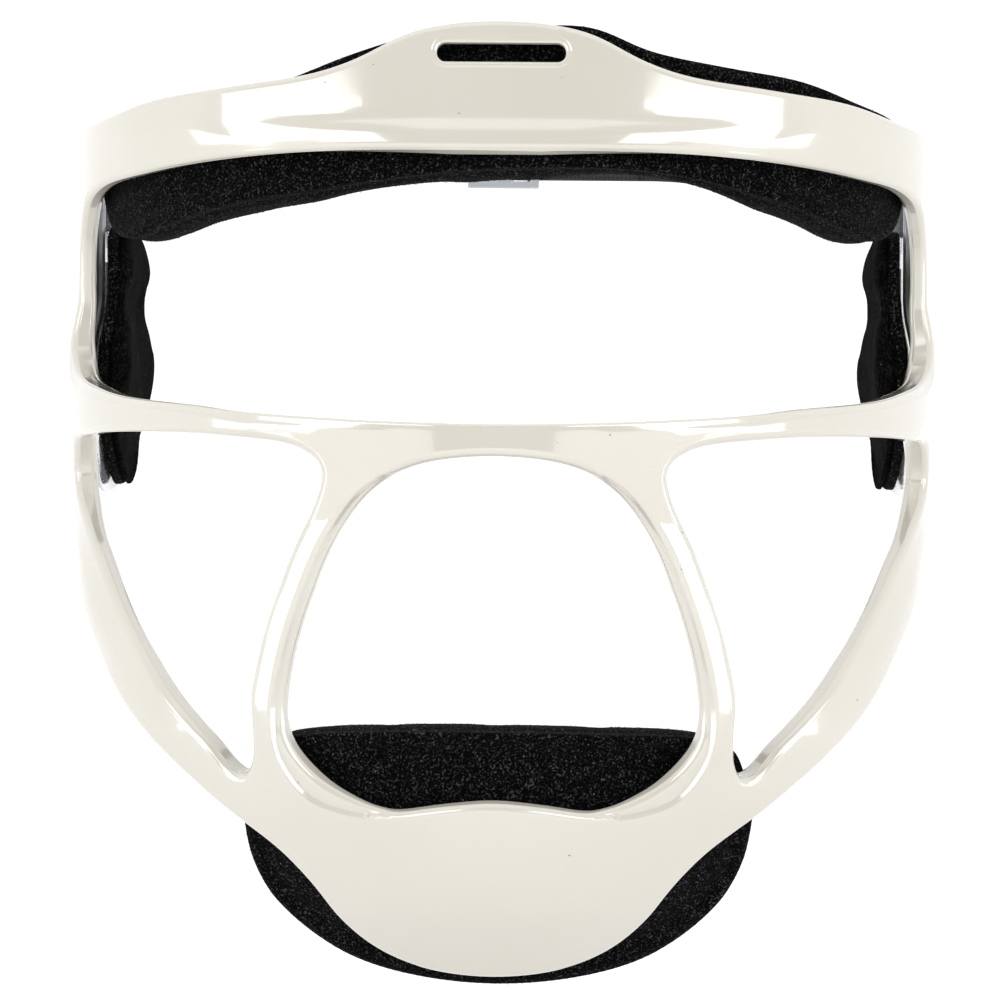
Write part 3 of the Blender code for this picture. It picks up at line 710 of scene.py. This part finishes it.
def frame_relief(flat):
    """How much the front face is sunk, less how much it is raised, in mm."""
    p, z = flat.T
    reach = np.abs(p)
    outer, eye, mouth, slot, cheeks = (
        kept_outlines[k].distance(flat) for k in ("outer", "eye", "mouth", "slot", "cheeks")
    )
    sunk = np.zeros(len(flat))
    # outer bars: the face falls away from a soft ridge towards the cheek openings
    share = outer / np.maximum(outer + cheeks, 1e-6)
    on_bar = soft_step(z, 4, -14) * soft_step(z, -70, -56)
    on_bar = on_bar * soft_step(outer + cheeks, 28, 20)
    sunk += (0.7 + 1.5 * soft_step(z, -46, -26)) * on_bar * soft_step(share, 0.30, 1.05)
    # hub: the bars start a little inside its lower edge
    hub = 0.55 * soft_step(z, 18.8, 16.6) * soft_step(z, -34, 0)
    sunk += hub * soft_step(reach, 118, 128)
    # lip round the mouth opening, and the fine step along the top of the eye bar
    lip = lip_width(*kept_outlines["mouth"].points[kept_outlines["mouth"].nearest(flat)].T)
    ease = np.minimum(0.6, 0.3 * lip + 0.05)
    sunk += 1.2 * soft_step(mouth, lip + ease, lip - ease) * soft_step(lip, 0.3, 1)
    # cheek bars: a facet slopes from the flat front to that lip
    on_cheek = soft_step(z, 4, -8) * soft_step(z, -60, -48) * soft_step(reach, 20, 32)
    sunk += 0.45 * on_cheek * np.clip((2.4 - mouth) / 1.2, 0, 1)
    # the webs under the eye bar lean back towards the cheek bars, which lean forward again
    lean = np.clip(np.where(z > -5, (15 - z) / 20, (z + 52) / 47), 0, 1)
    sunk += 2.5 * lean * soft_step(reach, 8, 20) * soft_step(reach, 84, 66)
    bar_top = soft_step(z, 34, 29) * soft_step(reach, 30, 55) * soft_step(z, 14, 16)
    sunk += 0.4 * soft_step(eye, 2.1, 1.5) * bar_top
    # shallow pocket round the slot, and the raised lower edge of the band
    sunk += 0.15 * soft_step(slot, 1.3, 0.9)
    flare = soft_step(z, 60, 72) * soft_step(reach, 92, 40)
    sunk -= flare * soft_step(eye, 8.5, 3)
    return sunk


def frame_skins(flat, edge):
    p, z = flat.T
    thick = wall(p, z)
    sunk = np.minimum(frame_relief(flat), thick - 2.2)
    rest = thick - sunk
    away = edge.distance(flat)
    slot = kept_outlines["slot"].distance(flat)
    largest = np.where(slot < 3, 0.6, 1.5 + 0.2 * bar_share(z))
    eye_bar = soft_step(kept_outlines["eye"].distance(flat), 4.5, 3.5) * soft_step(z, 34, 24)
    largest = largest - eye_bar * soft_step(np.abs(p), 80, 50)
    top = sunk + round_over(away, np.minimum(largest, 0.42 * rest))
    bottom = thick - round_over(away, np.minimum(largest, 0.36 * rest))
    bottom = bottom - 2 * soft_step(slot, 5, 2.6)
    return top, bottom


kept_outlines = {}


def build_frame():
    drawn = (frame_outline(), 6), (eye_outline(), 6), (mouth_outline(), 6), (cheek_outline(), 4)
    outer, eye, mouth, cheek = (relaxed(rounded_loop(a, FRAME_STEP), b) for a, b in drawn)
    other = cheek[::-1] * [-1, 1]
    slot = slot_loop((0.4, 99), 15.8, 2.15, 2.1, 0.6)
    for key, loops in {"outer": [outer], "eye": [eye], "mouth": [mouth], "slot": [slot],
                       "cheeks": [cheek, other]}.items():
        kept_outlines[key] = Outlines(loops)
    ring = mouth if area(mouth) < 0 else mouth[::-1]
    lip = lip_width(*ring.T)
    wide = lip > 0.9
    ease = np.minimum(0.6, 0.3 * lip + 0.05)
    shares = (-1, -0.4, 0.4, 1)
    rows = [(ring + (lip + share * ease)[:, None] * left_of(ring))[wide] for share in shares]
    rows.append((ring + 2.4 * left_of(ring))[np.abs(ring[:, 1] + 27) < 30])
    made = moulded_sheet(
        "moulded_frame", CREAM, outer, [eye, mouth, cheek, other, slot],
        (0.05, 0.2, 0.45, 0.8, 1.25, 1.85, 2.6), 2.3, frame_skins, rows,
    )
    placed(made, "mask", ["face_frame"])


# ---------------------------------------------------------------- side plates
def side_plate_outline():
    return traced(
        side, (76, 30), (75.5, 52), (76, 74), (80, 81), (92, 84.2), (107, 87), (117, 86.4),
        (122.3, 80.5), (122.5, 62), (119.5, 50), (120, 34), (121.5, 16), (117, 5), (106, 1.6),
        (90, 1.4), (80, 4.5), (76.5, 13),
    )


def plate_skins(flat, edge):
    away = edge.distance(flat)
    eased = round_over(away, np.full(len(flat), 0.7))
    under = SIDE_WALL + GAP
    return under + eased, under + SIDE_PLATE - eased


def build_side_plate(name, node, sign):
    outer = relaxed(rounded_loop(side_plate_outline(), 1.6), 4)
    slot = slot_loop(side(SLOT_Y, SLOT_Z), SLOT_WIDE / 2, SLOT_TALL / 2, 1.8, 1)
    outer, slot = (loop * [sign, 1] for loop in (outer, slot))
    made = moulded_sheet(name, WHITE, outer, [slot], (0.05, 0.2, 0.45, 0.75), 3, plate_skins)
    placed(made, "mask", [node])


# ---------------------------------------------------------------- pads
def forehead_outline():
    half = traced(
        front, (0, 107), (20, 104.4), (34, 98.8), (52, 95.8), (70, 93.4), (84, 89.4),
    ) + traced(
        side, (52, 86.2), (64, 83), (68, 77), (61, 69), (51, 62.6),
    ) + traced(
        front, (89, 59.8), (83, 61.6), (74, 65), (59, 68.7), (42, 70.8),
        (23, 72), (0, 72.7),
    )
    loop = np.array(mirrored(half))
    # the pad sits a little crooked on its tape: higher towards +X, its far ends level
    p, z = loop.T
    upper = smooth(
        [-160, -110, -75, -55, -43, -34, -26, -18, 0, 12, 20, 30, 45, 62, 90, 110, 160],
        [0, -1.5, -2.8, -2.4, 0.2, 1.4, 0.2, -0.8, -1, 0.6, 1.9, 2.4, 2.3, 1.8, 1.3, 0.6, 0], p,
    )
    lower = smooth(
        [-160, -110, -62, -34, -14, 0, 14, 34, 62, 90, 110, 160],
        [0.4, -0.9, -0.7, -0.3, 1.8, 2.6, 2.8, 2.2, 1.5, 0.6, -0.3, -0.4], p,
    )
    loop[:, 1] += lower + (upper - lower) * soft_step(z, 78, 90)
    return loop


def chin_outline():
    half = traced(
        front, (0, -53.2), (25, -53.2), (46, -53.4), (55, -56), (58.2, -63),
        (59, -71), (58.4, -78.5), (55.6, -87), (50.2, -94), (42, -100.8),
        (31.8, -105.9), (17, -109.6), (0, -111),
    )
    loop = np.array(mirrored(half))
    # stuck on a little towards +X, its upper edge uneven
    loop[:, 0] += 1.3
    bumps = 0.35 * np.cos(loop[:, 0] / 4.6) + 0.25 * np.cos(loop[:, 0] / 2.9 + 1)
    loop[:, 1] += bumps * soft_step(loop[:, 1], -58, -54)
    return loop


def temple_outline():
    return traced(
        side, (67.5, 27), (64, 40), (65.5, 54), (75, 61.5), (90, 62.2), (104, 60),
        (111.5, 54.5), (110.5, 48.5), (108.5, 45.2), (112.5, 41.5), (117, 34), (117, 24),
        (113.5, 13), (108, 5.5), (100, 2.4), (92, 5.5), (83, 12), (74, 19.5),
    )


def chin_grooves(p, z):
    """Depth of the grooves between the chin pad's four lobes."""
    grooves = np.exp(-((np.abs(p) - 24) / 2.6) ** 2) + np.exp(-(p / 3) ** 2)
    return 3 * np.clip(grooves, 0, 1)


def temple_grooves(p, z):
    """The groove between a temple pad's two domes, and the taper to its lower end."""
    groove = 2.3 * np.exp(-((z - 45.2) / 3.2) ** 2) + 1.2 * soft_step(z, 42, 49)
    taper = smooth([0, 4, 9, 17.5, 30, 36], [7, 5.6, 3.4, 1.1, -0.6, -0.4], z)
    return groove + taper * soft_step(z, 40, 34)


def no_grooves(p, z):
    return np.zeros(len(p))


def lumps(points, amount, size, seed):
    """A soft unevenness of the foam's skin, in mm."""
    aside = Vector((seed, 0, 0))
    return amount * np.array([noise.noise(Vector(p) / size + aside) for p in points])


def pad_mesh(name, outline, foam, crown, grooves, base, wrapped, seed):
    """A closed pad: brushed face flat on its base, foam crowned on the skin side, and a
    groove round its side where the face fabric is bonded to the foam. On a wrapped pad the
    fabric goes round the side and over the edge of the skin side. Also gives the vertices
    that the puffing holds still."""
    loop = relaxed(rounded_loop(outline, 2.4), 2)
    flat, faces, edge = flat_triangles(loop, [], (1, 2.4, 4.4, 7), 3.4)
    p, z = flat.T
    under = base(p, z) + PAD_FACE
    away = edge.distance(flat)
    rise = 1 - np.clip(away / crown, 0, 1)
    thick = LOOP + foam * (0.40 + 0.60 * np.sqrt(1 - rise**2))
    thick = thick - grooves(p, z) * np.clip(away / 1.2, 0, 1)
    thick = thick + lumps(np.column_stack([flat, np.zeros(len(flat))]), 0.35, 11, seed)
    thick = np.maximum(thick, LOOP + 1.3)
    start = surface(p, z)
    normal = tangents(p, z)[2]
    pinched = 1.25 * soft_step(away, 4, 1.6)
    eased = round_over(away, np.full(len(flat), 0.35))
    front_side = start - normal * (under - pinched + eased)[:, None]
    skin_side = start - normal * (under + thick)[:, None]
    count = len(flat)
    points, everything = [front_side, skin_side], [faces, faces[:, ::-1] + count]
    rim, ends, left = rim_of(flat, faces, edge)
    # rows down the side as (depth, inset): fabric edge, bonding groove, then the foam's
    # bulge, whose depth is a share of the pad's height
    groove = 0.2 if wrapped else 0.7
    rows = [
        (-0.7, -0.05), (0.5 * LOOP, -0.05), (LOOP, 0.15), (LOOP + 0.45, groove),
        (LOOP + 1.2, 0.5 * groove), (0.55, -0.15),
    ]
    offset = 2 * count
    number = np.arange(count)
    chain = [number]
    for k, (down, inset) in enumerate(rows):
        at = flat[ends] + inset * left
        depth = thick[ends] * down if k == len(rows) - 1 else np.full(len(ends), down)
        points.append(surface(*at.T) - tangents(*at.T)[2] * (under[ends] + depth)[:, None])
        chain.append(number.copy())
        chain[-1][ends] = offset + np.arange(len(ends))
        offset += len(ends)
    chain.append(number + count)
    everything += [band(rim, upper, lower) for upper, lower in zip(chain[:-1], chain[1:])]
    made = new_mesh(name, np.vstack(points), np.vstack(everything), FUZZ)
    made.data.materials.append(KNIT)
    fabric_bands = len(rows) + 1 if wrapped else 3
    slots = np.ones(len(made.data.polygons), np.int32)
    slots[: len(faces)] = 0
    slots[2 * len(faces): 2 * (len(faces) + fabric_bands * len(rim))] = 0
    if wrapped:
        slots[len(faces): 2 * len(faces)] = away[faces].max(axis=1) > FABRIC_TURN
    made.data.polygons.foreach_set("material_index", slots)
    held = list(range(count)) + list(range(2 * count, offset))
    held += [int(count + i) for i in np.nonzero(grooves(p, z) > 1.2)[0]]
    return made, held


def inflate(made, held, limit_mm, frames=20):
    """Puffs the skin side under pressure with the bonded face held still, then keeps it."""
    group = made.vertex_groups.new(name="held")
    group.add(held, 1, "REPLACE")
    before = np.array([v.co for v in made.data.vertices])
    cloth = made.modifiers.new("puff", "CLOTH")
    for key, value in {
        "quality": 6, "mass": 0.2, "tension_stiffness": 12, "compression_stiffness": 6,
        "shear_stiffness": 6, "bending_stiffness": 0.4, "use_pressure": True,
        "uniform_pressure_force": 4, "vertex_group_mass": "held",
    }.items():
        setattr(cloth.settings, key, value)
    cloth.settings.effector_weights.gravity = 0
    cloth.collision_settings.use_collision = False
    cloth.point_cache.frame_start = 1
    cloth.point_cache.frame_end = frames
    scene = bpy.context.scene
    for k in range(1, frames + 1):
        scene.frame_set(k)
    puffed = made.evaluated_get(bpy.context.evaluated_depsgraph_get())
    after = np.array([v.co for v in puffed.to_mesh().vertices])
    puffed.to_mesh_clear()
    made.modifiers.remove(cloth)
    moved = after - before
    length = np.maximum(np.linalg.norm(moved, axis=1), 1e-9)
    limit = limit_mm / 1000
    moved *= (limit * np.tanh(length / limit) / length)[:, None]
    made.data.vertices.foreach_set("co", (before + moved).ravel())
    made.data.update()
    made.vertex_groups.clear()
    scene.frame_set(1)


def subdivide(made):
    """One round of smooth subdivision, kept in the mesh."""
    modifier = made.modifiers.new("smooth", "SUBSURF")
    modifier.levels = modifier.render_levels = 1
    graph = bpy.context.evaluated_depsgraph_get()
    mesh = bpy.data.meshes.new_from_object(made.evaluated_get(graph))
    made.modifiers.clear()
    made.data = mesh
    mesh.polygons.foreach_set("use_smooth", np.ones(len(mesh.polygons), bool))


def nap(name, pad, count, seed):
    """Short loose fibres standing on the pad's brushed face."""
    mesh = pad.data
    mesh.calc_loop_triangles()
    triangles = np.array([t.vertices[:] for t in mesh.loop_triangles if t.material_index == 0])
    points = np.array([v.co for v in mesh.vertices])
    a, b, c = (points[triangles[:, k]] for k in range(3))
    cross = np.cross(b - a, c - a)
    size = np.linalg.norm(cross, axis=1)
    random = np.random.default_rng(seed)
    pick = random.choice(len(size), count, p=size / size.sum())
    u, v = random.random((2, count, 1))
    u, v = np.where(u + v > 1, 1 - u, u), np.where(u + v > 1, 1 - v, v)
    root = a[pick] + u * (b - a)[pick] + v * (c - a)[pick]
    normal = cross[pick] / size[pick][:, None]
    lean = random.normal(size=(count, 3))
    lean = unit(lean - (lean * normal).sum(1)[:, None] * normal)
    length = FIBRE / 1000 * random.uniform(0.4, 1, (count, 1))
    tip = root + length * (0.62 * normal + 0.78 * lean)
    middle = root + length * (0.45 * normal + 0.25 * lean)
    across = np.cross(normal, lean) * (FIBRE_WIDTH / 2000)
    corners = [root - across, root + across, middle + across, middle - across, tip]
    index = np.arange(count)[:, None] * 5
    faces = np.concatenate([index + [0, 1, 2], index + [0, 2, 3], index + [3, 2, 4]])
    points = np.stack(corners, axis=1).reshape(-1, 3) * 1000 + HEAD_CENTRE
    made = new_mesh(name, points, faces, FUZZ)
    placed(made, "mask")


def build_pad(name, nodes, shape, limit, fibres, seed):
    """nodes: the CAD backing and foam that the pad stands for."""
    made, held = pad_mesh(name, *shape, seed)
    inflate(made, held, limit)
    subdivide(made)
    placed(made, "mask", nodes)
    nap(name + "_nap", made, fibres, seed)


def build_pads():
    # outline, foam, crown, grooves, base, wrapped; then the puffing's limit in mm, the
    # number of fibres and the seed
    nodes = ["forehead_pad_backing", "forehead_pad_foam"]
    forehead = (forehead_outline(), FOREHEAD_FOAM, 9, no_grooves, wall, True)
    build_pad("forehead_pad", nodes, forehead, 1, 20000, 1)
    nodes = ["chin_pad_backing", "chin_pad_foam"]
    chin = (chin_outline(), CHIN_FOAM, 8, chin_grooves, wall, True)
    build_pad("chin_pad", nodes, chin, 1.2, 14000, 2)
    for seed, which, sign in ((3, "right", 1), (4, "left", -1)):
        outline = np.array(temple_outline()) * [sign, 1]
        nodes = [f"temple_pad_backing_{which}", f"temple_pad_foam_{which}"]
        temple = (outline, TEMPLE_FOAM, 6, temple_grooves, on_side_plate, False)
        build_pad("temple_pad_" + which, nodes, temple, 0.5, 5000, seed)


# ---------------------------------------------------------------- harness
def open_curve(points, step):
    """Open Catmull-Rom curve through plan points, in even steps."""
    points = np.asarray(points, float)
    padded = np.vstack([2 * points[0] - points[1], points, 2 * points[-1] - points[-2]])
    dense = []
    for i in range(1, len(padded) - 2):
        a, b, c, d = padded[i - 1:i + 3]
        for u in np.linspace(0, 1, 30, endpoint=False):
            dense.append(0.5 * (2 * b + (c - a) * u + (2 * a - 5 * b + 4 * c - d) * u**2
                                + (3 * b - a - 3 * c + d) * u**3))
    dense.append(points[-1])
    dense = np.array(dense)
    run = run_along(dense)
    at = np.linspace(0, run[-1], max(2, round(run[-1] / step)) + 1)
    return np.stack([np.interp(at, run, dense[:, k]) for k in (0, 1)], axis=1)


def strap_path(rear_y, step):
    """Right strap: folded tab outside the plate, through the slot, round to the rear."""
    face = surface(*side(SLOT_Y, SLOT_Z))[0][0] - SIDE_WALL - GAP
    rim = surface(*side(122.5, SLOT_Z))[0][0] - SIDE_WALL - GAP
    fold = [
        (rim - 3.0, 143.0), (rim - 0.2, 134.0), (rim + 1.8, 125.0),
        (face + 2.2, 116.2), (face + 1.4, 113.6), (face - 1.1, 112.6),
        (face - 3.6, 113.4), (face - 4.7, 116.2),
    ]
    back = [
        (rim - 4.3, 125.0), (rim - 5.0, 134.0), (rim - 6.6, 144.0), (71.0, 163.0),
        (58.5, 180.0), (46.0, rear_y - 3.6), (33.0, rear_y), (20.0, rear_y),
        (0.0, rear_y), (-20.0, rear_y), (-31.0, rear_y),
    ]
    plan = open_curve(fold + back, step)
    run = run_along(plan)
    start = run[np.argmax(plan[:, 1] < 113.5)] + 14.0
    level = run[np.argmax((plan[:, 0] < 33.0) & (run > start))]
    share = np.clip((run - start) / (level - start), 0, 1)
    z = SLOT_Z + STRAP_LIFT + (REAR_Z - SLOT_Z - STRAP_LIFT) * (3 * share**2 - 2 * share**3)
    return np.column_stack([plan, z]), run


def strap_section():
    """Webbing's cross-section as (across, thickness): rounded edges, ribs on both faces."""
    rib, pitch = 0.10, 1.55
    flat, thin = WEB_WIDTH / 2 - WEB_EDGE, WEB_THICK / 2
    up = np.linspace(-flat, flat, 57)
    face = np.column_stack([up, thin - rib + rib * np.cos(2 * math.pi * up / pitch)])
    turn = np.linspace(-math.pi / 2, math.pi / 2, 7)[1:-1]
    cap = np.column_stack([flat + WEB_EDGE * np.cos(turn), -(thin - 0.05) * np.sin(turn)])
    return np.vstack([face, cap, face[::-1] * [1, -1], cap[::-1] * [-1, 1]])


def sideways(path):
    """Unit vectors across a level path, through the strap's thickness."""
    ahead = unit(np.gradient(path[:, :2], axis=0))
    return np.stack([ahead[:, 1], -ahead[:, 0], np.zeros(len(path))], axis=1)


def tube_faces(start, rings, size):
    """Faces of a capped tube of rings, each of size points; start numbers its first point."""
    last = start + (rings - 1) * size
    faces = [
        (row + k, row + (k + 1) % size, row + size + (k + 1) % size, row + size + k)
        for row in range(start, last, size) for k in range(size)
    ]
    return faces + [tuple(range(start, start + size))[::-1], tuple(range(last, last + size))]


def webbing(name, path, run):
    """The strap's section carried along its path, a little thicker at every pick of the
    weave; its UV map is the length along the strap and the place across it, in mm."""
    up = np.array([0.0, 0.0, 1.0])
    picks = 1.0 + 0.05 * np.sin(2 * math.pi * run / 1.1)
    wide, thick = strap_section().T
    rows = np.array([
        centre + across * (thick * pick)[:, None] + up * wide[:, None]
        for centre, across, pick in zip(path, sideways(path), picks)
    ])
    count, size = rows.shape[:2]
    made = new_mesh(name, rows.reshape(-1, 3), tube_faces(0, count, size), WEBBING)
    bm = bmesh.new()
    bm.from_mesh(made.data)
    bmesh.ops.recalc_face_normals(bm, faces=bm.faces)
    layer = bm.loops.layers.uv.new("run")
    for face in bm.faces:
        for corner in face.loops:
            i, k = divmod(corner.vert.index, size)
            corner[layer].uv = (run[i], wide[k])
    bm.to_mesh(made.data)
    bm.free()
    return made


def stitches(name, path, run, sign):
    """A sewn box with a cross that closes the strap's fold, as raised thread."""
    box_run, box_wide, pitch, thread, sides = 5.0, 7.0, 2.0, 0.26, 6
    centre = run[np.argmin(np.abs(path[:, 1] - 134.0) + (run > 30) * 1e3)]
    turns = ((-1, -1), (1, -1), (1, 1), (-1, 1))
    corners = [(r * box_run, w * box_wide) for r, w in turns]
    lines = list(zip(corners, corners[1:] + corners[:1]))
    lines += [(corners[0], corners[2]), (corners[1], corners[3])]
    out = sideways(path)

    def on_face(r, w):
        """Point on the strap's outer face, r along it from the box's middle and w up."""
        spot, away = (
            np.array([np.interp(centre + r, run, rows[:, k]) for k in range(3)])
            for rows in (path, out)
        )
        away = away if away[0] * sign >= 0 else -away
        return spot + [0, 0, w] + away * (WEB_THICK / 2), away

    points, faces = [], []
    for (r0, w0), (r1, w1) in lines:
        number = int(math.hypot(r1 - r0, w1 - w0) / pitch)
        for k in range(number):
            (a, n), (b, _) = (
                on_face(r0 + (r1 - r0) * t, w0 + (w1 - w0) * t)
                for t in ((k + 0.12) / number, (k + 0.80) / number)
            )
            wide = np.cross(n, (b - a) / np.linalg.norm(b - a))
            start = len(points)
            for t, lift in ((0.0, -0.05), (0.25, 0.22), (0.75, 0.22), (1.0, -0.05)):
                middle = a + (b - a) * t + n * lift
                for turn in np.arange(sides) * math.pi / 3:
                    points.append(middle + thread * (math.cos(turn) * wide + math.sin(turn) * n))
            faces += tube_faces(start, 4, sides)
    placed(new_mesh(name, points, faces, THREAD), "harness")


def build_straps():
    for which, rear, sign in (("right", REAR_Y + LAYER_STEP, 1), ("left", REAR_Y, -1)):
        path, run = strap_path(rear, 0.55)
        path = path * [sign, 1, 1]
        made = webbing(which + "_webbing", path, run)
        placed(made, "harness", [which + "_strap"])
        stitches(which + "_stitching", path, run, sign)


def build_adjuster():
    """The ladder adjuster with its edges rounded."""
    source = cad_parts["rear_adjuster"]
    mesh = source.data.copy()
    mesh.name = "ladder_adjuster"
    bm = bmesh.new()
    bm.from_mesh(mesh)
    bmesh.ops.remove_doubles(bm, verts=bm.verts, dist=1e-6)
    bmesh.ops.dissolve_limit(bm, angle_limit=math.radians(2), verts=bm.verts, edges=bm.edges)
    sharp = [e for e in bm.edges if e.calc_face_angle(0) > math.radians(40)]
    bmesh.ops.bevel(bm, geom=sharp, offset=0.00042, segments=3, profile=0.5, affect="EDGES",
                    clamp_overlap=True)
    for face in bm.faces:
        face.smooth = True
    bm.to_mesh(mesh)
    bm.free()
    mesh.materials.clear()
    mesh.materials.append(WHITE)
    made = bpy.data.objects.new("ladder_adjuster", mesh)
    made.matrix_world = source.matrix_world.copy()
    bpy.context.scene.collection.objects.link(made)
    modifier = made.modifiers.new("shade", "WEIGHTED_NORMAL")
    modifier.keep_sharp = True
    placed(made, "adjuster", ["rear_adjuster"])


def finish_hook_tape():
    for name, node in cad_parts.items():
        if "hook" in name:
            for slot in node.material_slots:
                slot.material = TAPE


# ---------------------------------------------------------------- studio
def direction(azimuth, elevation):
    """Unit vector from the object towards azimuth, 0 in front and 90 to +X, and elevation."""
    a, e = math.radians(azimuth), math.radians(elevation)
    return Vector((math.sin(a) * math.cos(e), -math.cos(a) * math.cos(e), math.sin(e)))


def stage_sheet(name, corners, look, seen):
    """A flat sheet of the studio; an unseen one casts no shadow either."""
    mesh = bpy.data.meshes.new(name)
    mesh.from_pydata(corners, [], [tuple(range(len(corners)))])
    mesh.materials.append(look)
    made = bpy.data.objects.new(name, mesh)
    made.visible_camera = made.visible_shadow = seen
    bpy.context.scene.collection.objects.link(made)


def soft_box(name, corners, radiance):
    """A flat soft box through four corners, each (azimuth, elevation, distance) about the
    mask's front. Only its light and its reflections show."""
    look = Look(name)
    set_inputs(look.shader, Base_Color=(0.0, 0.0, 0.0, 1.0), Emission_Color=(1.0, 1.0, 1.0, 1.0))
    set_inputs(look.shader, Emission_Strength=radiance)
    aim = Vector((0.0, -0.09, 0.03))
    points = [aim + away * direction(azimuth, elevation) for azimuth, elevation, away in corners]
    stage_sheet(name, points, look.made, False)


def build_floor():
    look = Look("white_table")
    grain = look.ramp(look.noise(40.0), (0.3, 0.21), (0.7, 0.23))
    look.links.new(grain, look.shader.inputs["Base Color"])
    set_inputs(look.shader, Roughness=0.7, Specular_IOR_Level=0.1)
    set_inputs(look.shader, Emission_Color=(1.0, 1.0, 1.0, 1.0), Emission_Strength=0.94)
    half, low = 6.0, float(cad_low.z) - 0.0012
    turns = ((-1, -1), (1, -1), (1, 1), (-1, 1))
    stage_sheet("floor", [(x * half, y * half, low) for x, y in turns], look.made, True)


def build_light():
    """White all round to the eye; what lights the mask is bright behind it and dim in front."""
    world = bpy.data.worlds.new("studio")
    room = Nodes(world)
    split = room.add("SeparateXYZ", room.place["Generated"])
    spread = room.add("MapRange", From_Min=-0.8, From_Max=-0.1)
    set_inputs(spread, To_Min=ROOM_LIGHT, To_Max=BACK_LIGHT)
    spread.interpolation_type = "SMOOTHSTEP"
    room.links.new(split.outputs["Y"], spread.inputs["Value"])
    brighter = room.add("Math")
    brighter.operation = "MAXIMUM"
    room.links.new(spread.outputs["Result"], brighter.inputs[0])
    room.links.new(room.add("LightPath").outputs["Is Camera Ray"], brighter.inputs[1])
    sky = room.nodes["Background"]
    room.links.new(brighter.outputs["Value"], sky.inputs["Strength"])
    set_inputs(sky, Color=(1.0, 1.0, 1.0, 1.0))
    bpy.context.scene.world = world
    for sign, which in ((-1, "left"), (1, "right")):
        for name, corners in SIDE_BOXES.items():
            turned = [(sign * azimuth, elevation, away) for azimuth, elevation, away in corners]
            soft_box(name + which, turned, BOX_LIGHT)
    soft_box("soft_box_top", TOP_BOX, TOP_LIGHT)


def build_camera():
    camera = bpy.data.cameras.new("camera")
    camera.sensor_width = 36.0
    camera.lens = CAMERA_AWAY / VIEW_WIDTH * camera.sensor_width
    camera.clip_start, camera.clip_end = 0.1, 30.0
    made = bpy.data.objects.new("camera", camera)
    turn = math.radians(CAMERA_TURN)
    _, y, z = to_world([0.0, 0.0, 0.0])
    aside = CAMERA_ASIDE + math.sin(turn) * CAMERA_AWAY
    place = Vector((aside, y - math.cos(turn) * CAMERA_AWAY, z))
    aim = Euler((math.pi / 2, 0.0, turn)).to_matrix().to_4x4()
    roll = Matrix.Rotation(math.radians(CAMERA_ROLL), 4, "Z")
    made.matrix_world = Matrix.Translation(place) @ aim @ roll
    bpy.context.scene.collection.objects.link(made)
    bpy.context.scene.camera = made
    bpy.context.scene.view_settings.view_transform = "Standard"


build_frame()
build_side_plate("side_plate_right", "right_side_plate", 1)
build_side_plate("side_plate_left", "left_side_plate", -1)
build_pads()
build_straps()
build_adjuster()
finish_hook_tape()
build_floor()
build_light()
build_camera()
